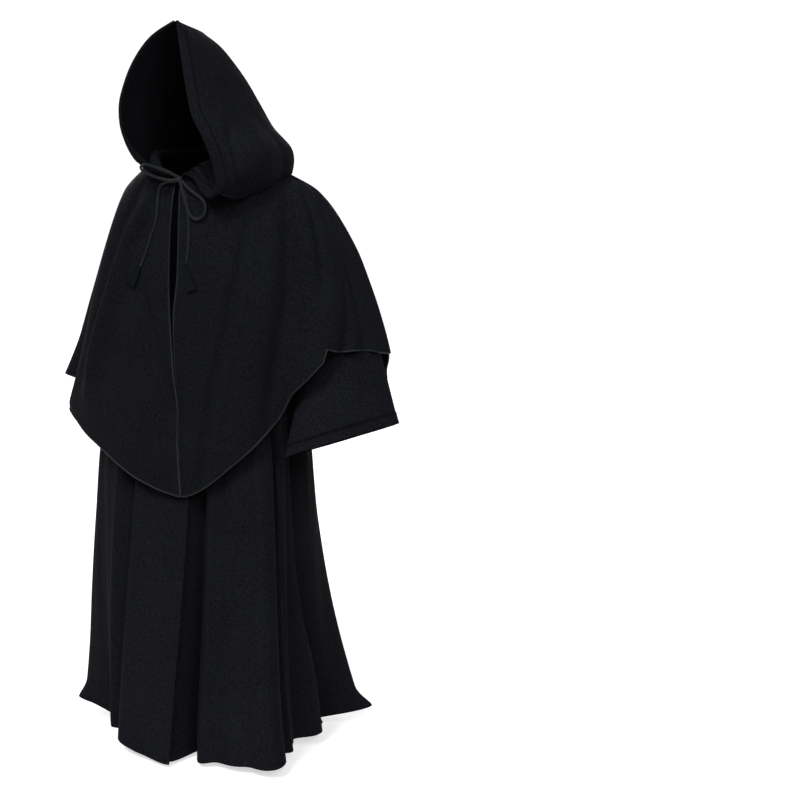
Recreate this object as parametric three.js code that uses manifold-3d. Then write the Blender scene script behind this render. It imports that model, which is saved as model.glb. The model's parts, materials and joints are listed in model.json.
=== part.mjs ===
// A hooded wool cloak: a floor-length robe with bell sleeves, a pointed shoulder cape and a full hood.
// Millimetres, +Z up. The wearer faces -Y and has +X at the left hand.
// The origin is on the axis of the body, level with the pit of the neck line.
import * as THREE from 'three';
import { mergeVertices } from 'three/addons/utils/BufferGeometryUtils.js';
import Module from 'manifold-3d';

// Cloth and trim
const WOOL = 2.0;
const SEAM_GAP = 0.3;
const BAND = 1.2;
const BAND_GAP = 0.5;
const HOOD_BAND_WIDTH = 24;
const CUFF_BAND_WIDTH = 28;
const BINDING_RADIUS = 2.2;
const BINDING_SIDES = 6;
const BINDING_GAP = 0.7;
const CORD_RADIUS = 2.2;
const CORD_SIDES = 8;
const CORD_STEP = 12;
const CORD_CLEAR = 4.4;

// How far the sleeves end off the robe
const ROBE_CLEARANCE = 0.8;

// How finely the cloth is divided. Columns lie on the folds, and elsewhere no further apart than this.
const WIDEST_COLUMN = 9;
const CLOSEST_COLUMN = 2.6;
const FOLD_COLUMNS = [-1.5, -0.75, 0, 0.75, 1.5];
const NORMAL_REACH = 1.5;
const ROBE_ROWS = 12;
const CAPE_ROWS = 10;
const HOOD_ROWS = 14;
const HOOD_COLUMNS = 27;
const SLEEVE_ROWS = 7;
const SLEEVE_COLUMNS = 20;

// Side seams of robe and cape at the hem, in degrees round from the centre front
const ROBE_SEAM = 96;
const CAPE_SEAM = 98;

// How square a ring of cloth is: 2 is an ellipse
const SQUARENESS = 2.25;

// Each ring of cloth: how far it lies ahead, at the left, behind and at the right, and its heights there.
// sideY is how far behind the axis its widest line lies.
const CAPE_RINGS = [
  { front: 132, frontZ: -6, left: 86, leftZ: 52, right: 86, rightZ: 52, sideY: -38, back: 52, backZ: 70 },
  { front: 148, frontZ: -62, left: 200, leftZ: -4, right: 192, rightZ: -4, sideY: 45, back: 160, backZ: 18 },
  { front: 160, frontZ: -150, left: 264, leftZ: -50, right: 234, rightZ: -54, sideY: 50, back: 222, backZ: -60 },
  { front: 168, frontZ: -265, left: 322, leftZ: -150, right: 280, rightZ: -155, sideY: 52, back: 245, backZ: -195 },
  { front: 165, frontZ: -400, left: 367, leftZ: -262, right: 328, rightZ: -268, sideY: 60, back: 257, backZ: -360 },
  { front: 156, frontZ: -560, left: 395, leftZ: -345, right: 376, rightZ: -384, sideY: 66, back: 266, backZ: -530 },
  { front: 142, frontZ: -729, left: 413, leftZ: -402, right: 426, rightZ: -476, sideY: 70, back: 272, backZ: -700 },
];

const ROBE_RINGS = [
  { front: 129, frontZ: -6, left: 83, leftZ: 49, right: 83, rightZ: 49, sideY: -38, back: 49, backZ: 67 },
  { front: 125, frontZ: -75, left: 148, leftZ: -20, right: 148, rightZ: -20, sideY: 5, back: 118, backZ: -20 },
  { front: 125, frontZ: -170, left: 180, leftZ: -100, right: 180, rightZ: -100, sideY: 8, back: 150, backZ: -120 },
  { front: 124, frontZ: -310, left: 196, leftZ: -250, right: 202, rightZ: -250, sideY: 8, back: 165, backZ: -280 },
  { front: 120, frontZ: -470, left: 214, leftZ: -440, right: 250, rightZ: -440, sideY: 8, back: 178, backZ: -460 },
  { front: 118, frontZ: -640, left: 236, leftZ: -630, right: 294, rightZ: -630, sideY: 8, back: 195, backZ: -640 },
  { front: 134, frontZ: -820, left: 246, leftZ: -820, right: 310, rightZ: -810, sideY: 8, back: 212, backZ: -820 },
  { front: 162, frontZ: -1000, left: 256, leftZ: -1000, right: 316, rightZ: -985, sideY: 8, back: 230, backZ: -1000 },
  { front: 195, frontZ: -1170, left: 270, leftZ: -1165, right: 314, rightZ: -1145, sideY: 8, back: 246, backZ: -1165 },
  { front: 222, frontZ: -1330, left: 288, leftZ: -1312, right: 316, rightZ: -1276, sideY: 8, back: 262, backZ: -1312 },
];

// Folds run straight down the cloth. Each has its angle at neck and hem, its width in degrees, how far it stands
// out at the hem (less than 0 is a trough), the share of the way down at which it starts, how late it grows,
// and how far its hem kicks out.
const CAPE_FOLDS = [
  { neck: -154, hem: -156, width: 9, depth: -26, from: 0.3, late: 0.8, kick: 0 },
  { neck: -128, hem: -130, width: 11, depth: 24, from: 0.3, late: 0.8, kick: 0 },
  { neck: -62, hem: -69, width: 7, depth: -66, from: 0.2, late: 1.2, kick: 0 },
  { neck: -47, hem: -54, width: 7, depth: 0, from: 0.1, late: 0.8, kick: -8 },
  { neck: 78, hem: 31, width: 6, depth: -50, from: 0.12, late: 0.8, kick: 0 },
  { neck: 92, hem: 46, width: 7, depth: 14, from: 0.3, late: 0.8, kick: 0 },
  { neck: 104, hem: 59, width: 4, depth: -16, from: 0.5, late: 0.8, kick: 0 },
  { neck: 136, hem: 128, width: 11, depth: 26, from: 0.3, late: 0.8, kick: 0 },
  { neck: 156, hem: 154, width: 9, depth: -28, from: 0.3, late: 0.8, kick: 0 },
  { neck: 180, hem: 180, width: 11, depth: 22, from: 0.25, late: 0.8, kick: 0 },
];

const ROBE_FOLDS = [
  { neck: -160, hem: -158, width: 8, depth: -30, from: 0.4, late: 0.8, kick: 0 },
  { neck: -138, hem: -136, width: 10, depth: 44, from: 0.42, late: 1, kick: 8 },
  { neck: -114, hem: -111, width: 9, depth: -30, from: 0.4, late: 0.8, kick: 0 },
  { neck: -86, hem: -83, width: 8, depth: 34, from: 0.55, late: 1.6, kick: 16 },
  { neck: -58, hem: -58, width: 11, depth: -70, from: 0.38, late: 0.8, kick: 0 },
  { neck: -40, hem: -38, width: 9, depth: -50, from: 0.45, late: 0.8, kick: 0 },
  { neck: -20, hem: -20, width: 8, depth: 4, from: 0.6, late: 0.8, kick: 0 },
  { neck: 0, hem: 0, width: 7, depth: 18, from: 0.6, late: 0.8, kick: 0 },
  { neck: 24, hem: 26, width: 6, depth: 8, from: 0.55, late: 0.8, kick: 0 },
  { neck: 38, hem: 43, width: 12, depth: 72, from: 0.46, late: 0.9, kick: 8 },
  { neck: 66, hem: 78, width: 11, depth: -58, from: 0.36, late: 0.8, kick: 0 },
  { neck: 92, hem: 104, width: 10, depth: -34, from: 0.5, late: 1, kick: 0 },
  { neck: 124, hem: 130, width: 9, depth: 84, from: 0.5, late: 1.8, kick: 26 },
  { neck: 152, hem: 156, width: 8, depth: -28, from: 0.4, late: 0.8, kick: 0 },
  { neck: 176, hem: 178, width: 9, depth: 42, from: 0.35, late: 0.8, kick: 6 },
];
const KICK_BEGINS = 0.95;

// How far the hem has risen from its height at the front to that at the side, every 15 degrees round
const RISE_LEFT = [0, 0.24, 0.53, 0.865, 1.02, 1.03, 1];
const RISE_RIGHT = [0, 0.15, 0.39, 0.6, 0.72, 0.98, 1];
const RISE_BACK = [0, 0.07, 0.26, 0.52, 0.77, 0.95, 1];

// The left front runs under the right one and falls into a deep pleat beside its edge.
const CENTRE_PLEAT = { neck: 10, hem: 9, width: 5, depth: -68, from: 0.3, late: 0.8, kick: 0 };
const RIGHT_FRONT_EDGE = 0.8;
const LEFT_FRONT_EDGE = -10;
const UNDERLAP_DROP = 5;
const UNDERLAP_BEGINS = 12;
const UNDERLAP_FULL = 4;

// The cape's front opening: half its width at the ends, what the middle adds, and where it closes
const OPENING_LEAST = 5.4;
const OPENING_MORE = 6;
const OPENING_ENDS = 0.78;

// Each arc of the hood runs from the face opening, out to the side, to the seam at the back.
// reach is how far out its two handles lie, and sideZ is their height.
const HOOD_BACK = [
  { y: 92, z: 62 },
  { y: 142, z: 44 },
  { y: 186, z: 16 },
  { y: 216, z: 30 },
  { y: 222, z: 82 },
  { y: 205, z: 140 },
  { y: 178, z: 195 },
  { y: 128, z: 250 },
  { y: 66, z: 294 },
  { y: 0, z: 322 },
];
const HOOD_LEFT = [
  { x: 44, y: -150, z: -4, reach: 120, sideZ: 46 },
  { x: 82, y: -171, z: -38, reach: 170, sideZ: 4 },
  { x: 109, y: -184, z: -50, reach: 212, sideZ: -18 },
  { x: 128, y: -190, z: -22, reach: 240, sideZ: 2 },
  { x: 120, y: -194, z: 26, reach: 240, sideZ: 60 },
  { x: 98, y: -197, z: 80, reach: 176, sideZ: 112 },
  { x: 72, y: -195, z: 130, reach: 138, sideZ: 164 },
  { x: 50, y: -182, z: 206, reach: 94, sideZ: 232 },
  { x: 26, y: -158, z: 282, reach: 46, sideZ: 294 },
  { x: 0.4, y: -124, z: 338, reach: 0.4, sideZ: 330 },
];
const HOOD_RIGHT = [
  { x: 30, y: -150, z: 4, reach: 116, sideZ: 46 },
  { x: 52, y: -170, z: 18, reach: 124, sideZ: 26 },
  { x: 70, y: -184, z: 38, reach: 120, sideZ: 20 },
  { x: 87, y: -193, z: 62, reach: 120, sideZ: 40 },
  { x: 100, y: -198, z: 92, reach: 118, sideZ: 78 },
  { x: 106, y: -198, z: 128, reach: 114, sideZ: 124 },
  { x: 104, y: -192, z: 172, reach: 102, sideZ: 174 },
  { x: 84, y: -176, z: 240, reach: 72, sideZ: 240 },
  { x: 50, y: -154, z: 298, reach: 38, sideZ: 296 },
  { x: 0.4, y: -124, z: 338, reach: 0.4, sideZ: 330 },
];
const GATHERS = 9;
const GATHER_DEPTH = 7;
const GATHER_REACH = 0.34;
const HOOD_REST = 6.5;
const HOOD_REST_FULL = 0.07;
const HOOD_BAND_START = 0.08;
const HOOD_BAND_TOP = 0.985;
const HOOD_BAND_COLUMNS = 2;
const BAND_STEPS = 80;
const BAND_REACH = 0.4;

// Rings of the sleeves: centre, half width along the cuff, half depth across it, and the way the cuff runs.
const SLEEVE_LEFT = [
  { x: 120, y: 12, z: -76, wide: 56, deep: 54, turn: 0 },
  { x: 184, y: 18, z: -114, wide: 58, deep: 56, turn: 4 },
  { x: 244, y: 30, z: -208, wide: 62, deep: 58, turn: 12 },
  { x: 298, y: 36, z: -330, wide: 74, deep: 60, turn: 26 },
  { x: 328, y: 16, z: -455, wide: 98, deep: 60, turn: 38 },
  { x: 347, y: -20, z: -596, wide: 133, deep: 60, turn: 42 },
];
const SLEEVE_RIGHT = [
  { x: 120, y: 12, z: -76, wide: 56, deep: 54, turn: 0 },
  { x: 180, y: 18, z: -116, wide: 58, deep: 54, turn: 10 },
  { x: 226, y: 30, z: -210, wide: 62, deep: 48, turn: 30 },
  { x: 270, y: 48, z: -325, wide: 76, deep: 42, turn: 60 },
  { x: 300, y: 78, z: -440, wide: 90, deep: 32, turn: 80 },
  { x: 322, y: 96, z: -556, wide: 108, deep: 28, turn: 90 },
];
const LEFT_CUFF_TILT = 40;

// Drawcord, tied in a bow at the neck. Points from the knot outwards, pressed onto the cape where they touch it.
const KNOT = { x: 9, y: -148, z: -9, wide: 9.5, deep: 6.5, high: 8 };
const KNOT_SEGMENTS = [12, 8];
const BOW_LOOP_RIGHT = [
  [6, -150, -4],
  [-14, -160, 8],
  [-34, -172, 16],
  [-52, -188, 22],
  [-60, -194, 15],
  [-53, -187, 5],
  [-34, -168, -6],
  [-12, -154, -12],
  [5, -150, -11],
];
const BOW_LOOP_LEFT = [
  [12, -149, -9],
  [28, -150, -26],
  [46, -150, -40],
  [66, -150, -54],
  [77, -154, -70],
  [75, -157, -86],
  [60, -160, -98],
  [44, -162, -90],
  [32, -160, -66],
  [12, -151, -14],
];
const CORD_END_RIGHT = [
  [5, -147, -13],
  [-30, -142, -17],
  [-45, -142, -34],
  [-46, -153, -94],
  [-61, -157, -141],
  [-74, -159, -177],
  [-86, -160, -202],
];
const CORD_END_LEFT = [
  [10, -147, -14],
  [18, -146, -30],
  [28, -150, -56],
  [36, -157, -105],
  [38, -162, -145],
  [36, -165, -176],
  [34, -167, -196],
];

// Tabs of cloth at the two ends: length, width at the top and the bottom, and the angles they hang and turn at
const TAB_RIGHT = { length: 50, top: 6, bottom: 34, lean: -36, turn: -9 };
const TAB_LEFT = { length: 60, top: 6, bottom: 26, lean: 13, turn: 3 };
const TAB_COLUMNS = 4;
const TAB_ROWS = 5;

const wool = { color: 0x1b1c20, roughness: 0.95, metalness: 0 };
const satin = { color: 0x24292a, roughness: 0.5, metalness: 0 };

const wasm = await Module();
wasm.setup();

const radians = THREE.MathUtils.degToRad;
const mix = THREE.MathUtils.lerp;

// Value at share t along evenly spaced values, on a smooth curve through them
function along(values, t) {
  const last = values.length - 1;
  const place = Math.min(Math.max(t, 0), 1) * last;
  const i = Math.min(Math.floor(place), last - 1);
  const f = place - i;
  const [a, b, c, d] = [values[Math.max(i - 1, 0)], values[i], values[i + 1], values[Math.min(i + 2, last)]];
  const bend = (2 * a - 5 * b + 4 * c - d) * f * f + (3 * b - a - 3 * c + d) * f * f * f;
  return b + 0.5 * ((c - a) * f + bend);
}

function smooth(from, to, value) {
  const t = Math.min(Math.max((value - from) / (to - from), 0), 1);
  return t * t * (3 - 2 * t);
}

const shares = (count, from = 0, to = 1) => {
  return Array.from({ length: count + 1 }, (_, i) => from + ((to - from) * i) / count);
};

const turnBetween = (a, b) => ((a - b + 540) % 360) - 180;

// Angle at the neck of the line that reaches the hem at an angle, so that lines run along the folds
function neckAngle(folds, hemAngle) {
  const hem = turnBetween(hemAngle, 0);
  const ends = [{ hem: -180, neck: -180 }, { hem: 0, neck: 0 }, { hem: 180, neck: 180 }];
  const guides = [...folds, ...ends].sort((a, b) => a.hem - b.hem);
  const next = Math.max(guides.findIndex((guide) => guide.hem >= hem), 1);
  const [low, high] = [guides[next - 1], guides[next]];
  const share = high.hem > low.hem ? (hem - low.hem) / (high.hem - low.hem) : 0;
  return hemAngle - hem + mix(low.neck, high.neck, share);
}

// How far the folds move the cloth out, on the line that reaches the hem at an angle
function foldDepth(folds, hemAngle, level) {
  let depth = 0;
  for (const fold of folds) {
    const off = turnBetween(hemAngle, fold.hem) / fold.width;
    const grown = Math.pow(Math.max((level - fold.from) / (1 - fold.from), 0), fold.late);
    depth += (fold.depth * grown + fold.kick * smooth(KICK_BEGINS, 1, level)) * Math.exp(-off * off);
  }
  return depth;
}

// Point of a draped cloth on the line that reaches the hem at an angle, and a share of the way down
function drapePoint(rings, folds, guides, hemAngle, level) {
  const at = (name) => along(rings.map((ring) => ring[name]), level);
  const angle = mix(neckAngle(guides, hemAngle), hemAngle, level);
  const turn = radians(angle);
  const power = 2 / SQUARENESS;
  const across = Math.sign(Math.sin(turn)) * Math.pow(Math.abs(Math.sin(turn)), power);
  const ahead = Math.sign(Math.cos(turn)) * Math.pow(Math.abs(Math.cos(turn)), power);
  const side = across > 0 ? 'left' : 'right';
  const off = Math.abs(turnBetween(angle, 0));
  const quarter = (ahead > 0 ? off : 180 - off) / 90;
  const frontRise = across > 0 ? RISE_LEFT : RISE_RIGHT;
  const even = Math.pow(Math.sin((Math.PI / 2) * quarter), 1.4);
  const sideShare = ahead > 0 ? mix(even, along(frontRise, quarter), level) : along(RISE_BACK, quarter);
  const endZ = ahead > 0 ? at('frontZ') : at('backZ');
  const depth = ahead > 0 ? at('front') + at('sideY') : at('back') - at('sideY');
  const out = foldDepth(folds, hemAngle, level);
  return new THREE.Vector3(
    at(side) * across + out * Math.sin(turn),
    at('sideY') - depth * ahead - out * Math.cos(turn),
    mix(endZ, at(`${side}Z`), sideShare),
  );
}

const capePoint = (hemAngle, level) => drapePoint(CAPE_RINGS, CAPE_FOLDS, CAPE_FOLDS, hemAngle, level);
const robePoint = (hemAngle, level) => drapePoint(ROBE_RINGS, ROBE_FOLDS, ROBE_FOLDS, hemAngle, level);

function leftFrontPoint(hemAngle, level) {
  const point = drapePoint(ROBE_RINGS, [...ROBE_FOLDS, CENTRE_PLEAT], ROBE_FOLDS, hemAngle, level);
  const drop = UNDERLAP_DROP * smooth(UNDERLAP_BEGINS, UNDERLAP_FULL, hemAngle);
  const turn = radians(hemAngle);
  return point.add(new THREE.Vector3(-drop * Math.sin(turn), drop * Math.cos(turn), 0));
}

// Angles of a panel's columns: on and beside each fold, and no further apart than the widest column
function columnAngles(folds, from, to) {
  const wanted = [];
  for (const fold of folds) {
    for (const turns of [-360, 0, 360]) {
      for (const off of FOLD_COLUMNS) wanted.push(fold.hem + turns + off * fold.width);
    }
  }
  const angles = [from];
  const inside = wanted.filter((angle) => angle > from && angle < to).sort((a, b) => a - b);
  for (const angle of [...inside, to]) {
    const last = angles[angles.length - 1];
    const widest = Math.max(angle - last, neckAngle(folds, angle) - neckAngle(folds, last));
    const steps = Math.ceil(widest / WIDEST_COLUMN);
    const keep = angle - last >= CLOSEST_COLUMN && to - angle >= CLOSEST_COLUMN;
    if (angle === to || keep) {
      for (let k = 1; k <= steps; k += 1) angles.push(last + ((angle - last) * k) / steps);
    }
  }
  return angles;
}

// Panel of a draped cloth, drawn in from the seams at its ends by half their gap
function panelSurface(point, from, to) {
  const inset = (seam, level) => (0.5 * SEAM_GAP) / point(seam, level).distanceTo(point(seam + 1, level));
  return (angle, level) => {
    const share = (angle - from) / (to - from);
    return point(angle + mix(inset(from, level), -inset(to, level), share), level);
  };
}

// Grid of cloth: points[j][i] at us[i] and vs[j], and the way out at each, from neighbours on the surface that
// are reach away, or the grid's own where reach is 0. facing -1 turns the way out round.
function clothGrid(surface, us, vs, { closed = false, facing = 1, reach = 0 } = {}) {
  const points = vs.map((v) => us.map((u) => surface(u, v)));
  const count = us.length;
  const normals = points.map((row, j) => row.map((_, i) => {
    const west = closed ? row[(i + count - 1) % count] : row[Math.max(i - 1, 0)];
    const east = closed ? row[(i + 1) % count] : row[Math.min(i + 1, count - 1)];
    const up = points[Math.max(j - 1, 0)][i];
    const down = points[Math.min(j + 1, vs.length - 1)][i];
    const across = reach ? surface(us[i] + reach, vs[j]).sub(surface(us[i] - reach, vs[j])) : east.clone().sub(west);
    return new THREE.Vector3().crossVectors(across, up.clone().sub(down)).normalize().multiplyScalar(facing);
  }));
  return { points, normals, closed, facing };
}

function geometryOf(positions, index) {
  const geometry = new THREE.BufferGeometry();
  geometry.setAttribute('position', new THREE.Float32BufferAttribute(positions, 3));
  geometry.setIndex(index);
  return geometry;
}

// Closed wall between two distances out from a grid, over a range of its columns and rows
function clothWall(grid, low, high, { columns = [0, Infinity], rows = [0, Infinity] } = {}) {
  const lastRow = Math.min(rows[1], grid.points.length - 1);
  const lastColumn = Math.min(columns[1], grid.points[0].length - 1);
  const rowCount = lastRow - rows[0];
  const across = lastColumn - columns[0] + 1;
  const columnCount = grid.closed ? across : across - 1;
  const positions = [];
  for (const away of [high, low]) {
    for (let j = rows[0]; j <= lastRow; j += 1) {
      for (let i = columns[0]; i <= lastColumn; i += 1) {
        const point = grid.points[j][i].clone().addScaledVector(grid.normals[j][i], away);
        positions.push(point.x, point.y, point.z);
      }
    }
  }
  const index = [];
  const outer = (i, j) => j * across + (i % across);
  const inner = (i, j) => (rowCount + 1) * across + outer(i, j);
  const face = (a, b, c, d) => index.push(...(grid.facing < 0 ? [a, c, b, a, d, c] : [a, b, c, a, c, d]));
  for (let j = 0; j < rowCount; j += 1) {
    for (let i = 0; i < columnCount; i += 1) {
      face(outer(i, j + 1), outer(i + 1, j + 1), outer(i + 1, j), outer(i, j));
      face(inner(i + 1, j), inner(i + 1, j + 1), inner(i, j + 1), inner(i, j));
    }
  }
  for (let i = 0; i < columnCount; i += 1) {
    face(outer(i, 0), outer(i + 1, 0), inner(i + 1, 0), inner(i, 0));
    face(inner(i, rowCount), inner(i + 1, rowCount), outer(i + 1, rowCount), outer(i, rowCount));
  }
  if (!grid.closed) {
    for (let j = 0; j < rowCount; j += 1) {
      face(outer(0, j), inner(0, j), inner(0, j + 1), outer(0, j + 1));
      face(outer(columnCount, j + 1), inner(columnCount, j + 1), inner(columnCount, j), outer(columnCount, j));
    }
  }
  return geometryOf(positions, index);
}

const woolWall = (grid) => clothWall(grid, -WOOL / 2, WOOL / 2);
const bandWall = (grid, range) => clothWall(grid, WOOL / 2 + BAND_GAP, WOOL / 2 + BAND_GAP + BAND, range);

// Solid inside a closed grid moved out by a distance, with flat ends
function filledTube(grid, away) {
  const rowCount = grid.points.length - 1;
  const across = grid.points[0].length;
  const positions = [];
  for (let j = 0; j <= rowCount; j += 1) {
    for (let i = 0; i < across; i += 1) {
      const point = grid.points[j][i].clone().addScaledVector(grid.normals[j][i], away);
      positions.push(point.x, point.y, point.z);
    }
  }
  const index = [];
  for (let j = 0; j < rowCount; j += 1) {
    for (let i = 0; i < across; i += 1) {
      const a = j * across + i;
      const b = j * across + ((i + 1) % across);
      index.push(a + across, b + across, b, a + across, b, a);
    }
  }
  for (const row of [0, rowCount]) {
    const centre = new THREE.Vector3();
    for (const point of grid.points[row]) centre.addScaledVector(point, 1 / across);
    const hub = positions.length / 3;
    positions.push(centre.x, centre.y, centre.z);
    for (let i = 0; i < across; i += 1) {
      const a = row * across + i;
      const b = row * across + ((i + 1) % across);
      index.push(...(row === 0 ? [hub, a, b] : [hub, b, a]));
    }
  }
  return geometryOf(positions, index);
}

// Geometry with its positions only, and its shared vertices merged
function bare(geometry) {
  geometry.deleteAttribute('normal');
  geometry.deleteAttribute('uv');
  return mergeVertices(geometry, 1e-4);
}

function toSolid(geometry) {
  const merged = bare(geometry);
  return new wasm.Manifold(new wasm.Mesh({
    numProp: 3,
    vertProperties: new Float32Array(merged.attributes.position.array),
    triVerts: new Uint32Array(merged.index.array),
  }));
}

function toGeometry(solid) {
  const mesh = solid.getMesh();
  return geometryOf(Array.from(mesh.vertProperties), Array.from(mesh.triVerts));
}

const group = new THREE.Group();

function add(name, geometry, look) {
  geometry.computeVertexNormals();
  const mesh = new THREE.Mesh(geometry, new THREE.MeshStandardMaterial(look));
  mesh.name = name;
  group.add(mesh);
}

// Sleeves
function sleevePoint({ rings, side, tilt }, angle, level) {
  const at = (name, share = level) => along(rings.map((ring) => ring[name]), share);
  const centre = (share) => new THREE.Vector3(at('x', share), at('y', share), at('z', share));
  const step = 0.02;
  const down = centre(Math.min(level + step, 1)).sub(centre(Math.max(level - step, 0))).normalize();
  const turn = radians(at('turn'));
  const wide = new THREE.Vector3(Math.cos(turn), Math.sin(turn), 0);
  wide.addScaledVector(down, -wide.dot(down)).normalize();
  const deep = new THREE.Vector3().crossVectors(down, wide);
  const point = centre(level);
  point.addScaledVector(wide, at('wide') * Math.cos(radians(angle)));
  point.addScaledVector(deep, at('deep') * Math.sin(radians(angle)));
  point.z += tilt * Math.cos(radians(angle)) * level * level;
  point.x *= side;
  return point;
}

// Grid of a sleeve, whose last row of cloth is as deep as the cuff band
function sleeveGrid(sleeve) {
  const last = sleevePoint(sleeve, 90, 1);
  const length = last.distanceTo(sleevePoint(sleeve, 90, 0.9)) / 0.1;
  const bandTop = 1 - CUFF_BAND_WIDTH / length;
  const rows = [...shares(SLEEVE_ROWS - 1, 0, bandTop), 1];
  const columns = shares(SLEEVE_COLUMNS).slice(0, -1);
  const surface = (u, v) => sleevePoint(sleeve, -360 * u * sleeve.side, v);
  return clothGrid(surface, columns, rows, { closed: true });
}

const leftSleeve = sleeveGrid({ rings: SLEEVE_LEFT, side: 1, tilt: LEFT_CUFF_TILT });
const rightSleeve = sleeveGrid({ rings: SLEEVE_RIGHT, side: -1, tilt: 0 });
const leftArmhole = toSolid(filledTube(leftSleeve, -WOOL / 2));
const rightArmhole = toSolid(filledTube(rightSleeve, -WOOL / 2));

// Robe: the sleeves open its armholes, and the robe's own shape ends the sleeves
const robeRound = columnAngles(ROBE_FOLDS, -180, 180).slice(0, -1);
const robeRows = shares(ROBE_ROWS);
const robeShape = toSolid(filledTube(
  clothGrid(robePoint, robeRound, robeRows, { closed: true, reach: NORMAL_REACH }),
  WOOL / 2 + ROBE_CLEARANCE,
));

function addRobePanel(name, point, folds, from, to) {
  const surface = panelSurface(point, from, to);
  const grid = clothGrid(surface, columnAngles(folds, from, to), robeRows, { reach: NORMAL_REACH });
  const panel = toSolid(woolWall(grid));
  add(name, toGeometry(panel.subtract(leftArmhole).subtract(rightArmhole)), wool);
}

function addSleeve(name, grid) {
  add(`sleeve_${name}`, toGeometry(toSolid(woolWall(grid)).subtract(robeShape)), wool);
  add(`cuff_band_${name}`, bandWall(grid, { rows: [SLEEVE_ROWS - 1, SLEEVE_ROWS] }), wool);
}

addRobePanel('robe_back', robePoint, ROBE_FOLDS, ROBE_SEAM, 360 - ROBE_SEAM);
addRobePanel('robe_front_right', robePoint, ROBE_FOLDS, -ROBE_SEAM, RIGHT_FRONT_EDGE);
addRobePanel('robe_front_left', leftFrontPoint, [...ROBE_FOLDS, CENTRE_PLEAT], LEFT_FRONT_EDGE, ROBE_SEAM);
addSleeve('left', leftSleeve);
addSleeve('right', rightSleeve);

// Angle of the cape's front edge, which keeps its opening as wide as stated
function frontAngle(side, level) {
  const half = OPENING_LEAST + OPENING_MORE * Math.sin(Math.PI * Math.min(level / OPENING_ENDS, 1));
  const reach = along(CAPE_RINGS.map((ring) => ring[side]), level);
  return THREE.MathUtils.radToDeg(Math.asin(Math.pow(half / reach, SQUARENESS / 2)));
}

// Hem angle of the line that lies at an angle near the front, at a level
function hemAngleAt(angle, level) {
  const spread = mix(neckAngle(CAPE_FOLDS, Math.sign(angle)) * Math.sign(angle), 1, level);
  return angle / spread;
}

const capeRows = shares(CAPE_ROWS);

function capeGrid(from, to, opening) {
  const whole = panelSurface(capePoint, from, to);
  const surface = (angle, level) => whole(opening ? angle + opening(angle, level) : angle, level);
  return clothGrid(surface, columnAngles(CAPE_FOLDS, from, to), capeRows, { reach: NORMAL_REACH });
}

// How far a line of a front panel moves round to leave the opening at the centre
const openingAt = (side, sign) => (angle, level) => {
  const edge = hemAngleAt(sign * frontAngle(side, level), level);
  return edge * (1 - Math.abs(angle) / CAPE_SEAM);
};
const leftCape = capeGrid(0, CAPE_SEAM, openingAt('left', 1));
const rightCape = capeGrid(-CAPE_SEAM, 0, openingAt('right', -1));
const backCape = capeGrid(CAPE_SEAM, 360 - CAPE_SEAM);
add('cape_front_left', woolWall(leftCape), wool);
add('cape_front_right', woolWall(rightCape), wool);
add('cape_back', woolWall(backCape), wool);

// Smooth curve whose even steps fall on its own points
class SteppedCurve extends THREE.CatmullRomCurve3 {
  getPointAt(t, target) {
    return this.getPoint(t, target);
  }

  getTangentAt(t, target) {
    return this.getTangent(t, target);
  }
}

// Round section extruded along a curve
function roundAlong(extrudePath, steps, radius, sides) {
  const section = new THREE.Shape(shares(sides).slice(1).map((turn) => {
    return new THREE.Vector2(radius * Math.cos(2 * Math.PI * turn), radius * Math.sin(2 * Math.PI * turn));
  }));
  return new THREE.ExtrudeGeometry(section, { steps, extrudePath, bevelEnabled: false });
}

// Line just off the front edge and hem of a grid. inward is the column step away from the front edge.
function bindingLine(grid, inward) {
  const rows = grid.points;
  const hem = rows.length - 1;
  const count = rows[0].length;
  const reach = BINDING_RADIUS + BINDING_GAP;
  const off = (point, inner, before, after) => {
    const edge = after.clone().sub(before).normalize();
    const away = point.clone().sub(inner);
    away.addScaledVector(edge, -away.dot(edge)).normalize();
    return point.clone().addScaledVector(away, reach);
  };
  const order = Array.from({ length: count }, (_, i) => (inward < 0 ? count - 1 - i : i));
  const line = [];
  if (inward !== 0) {
    const edge = rows.map((row) => row[order[0]]);
    for (let j = 1; j < hem; j += 1) line.push(off(edge[j], rows[j][order[1]], edge[j - 1], edge[j + 1]));
    const below = off(edge[hem], edge[hem - 1], edge[hem], rows[hem][order[1]]);
    const beside = off(edge[hem], rows[hem][order[1]], edge[hem - 1], edge[hem]);
    line.push(below.add(beside).sub(edge[hem]));
  }
  for (let k = 1; k < count - 1; k += 1) {
    const [before, here, after] = [order[k - 1], order[k], order[k + 1]];
    line.push(off(rows[hem][here], rows[hem - 1][here], rows[hem][before], rows[hem][after]));
  }
  return line;
}

for (const [name, grid, inward] of [['left', leftCape, 1], ['right', rightCape, -1], ['back', backCape, 0]]) {
  const points = bindingLine(grid, inward);
  const binding = roundAlong(new SteppedCurve(points), points.length - 1, BINDING_RADIUS, BINDING_SIDES);
  add(`cape_binding_${name}`, bare(binding), satin);
}

// Upper part of the cape, which the hood and the drawcord rest on
const shoulders = clothGrid(capePoint, shares(90, -180, 180), shares(36, 0, 0.6));

function restOnCape(point, clear) {
  let nearest = Infinity;
  let at = null;
  let out = null;
  shoulders.points.forEach((row, j) => row.forEach((spot, i) => {
    const distance = spot.distanceToSquared(point);
    if (distance < nearest) {
      nearest = distance;
      at = spot;
      out = shoulders.normals[j][i];
    }
  }));
  const above = point.clone().sub(at).dot(out);
  return above < clear ? point.clone().addScaledVector(out, clear - above) : point;
}

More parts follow.
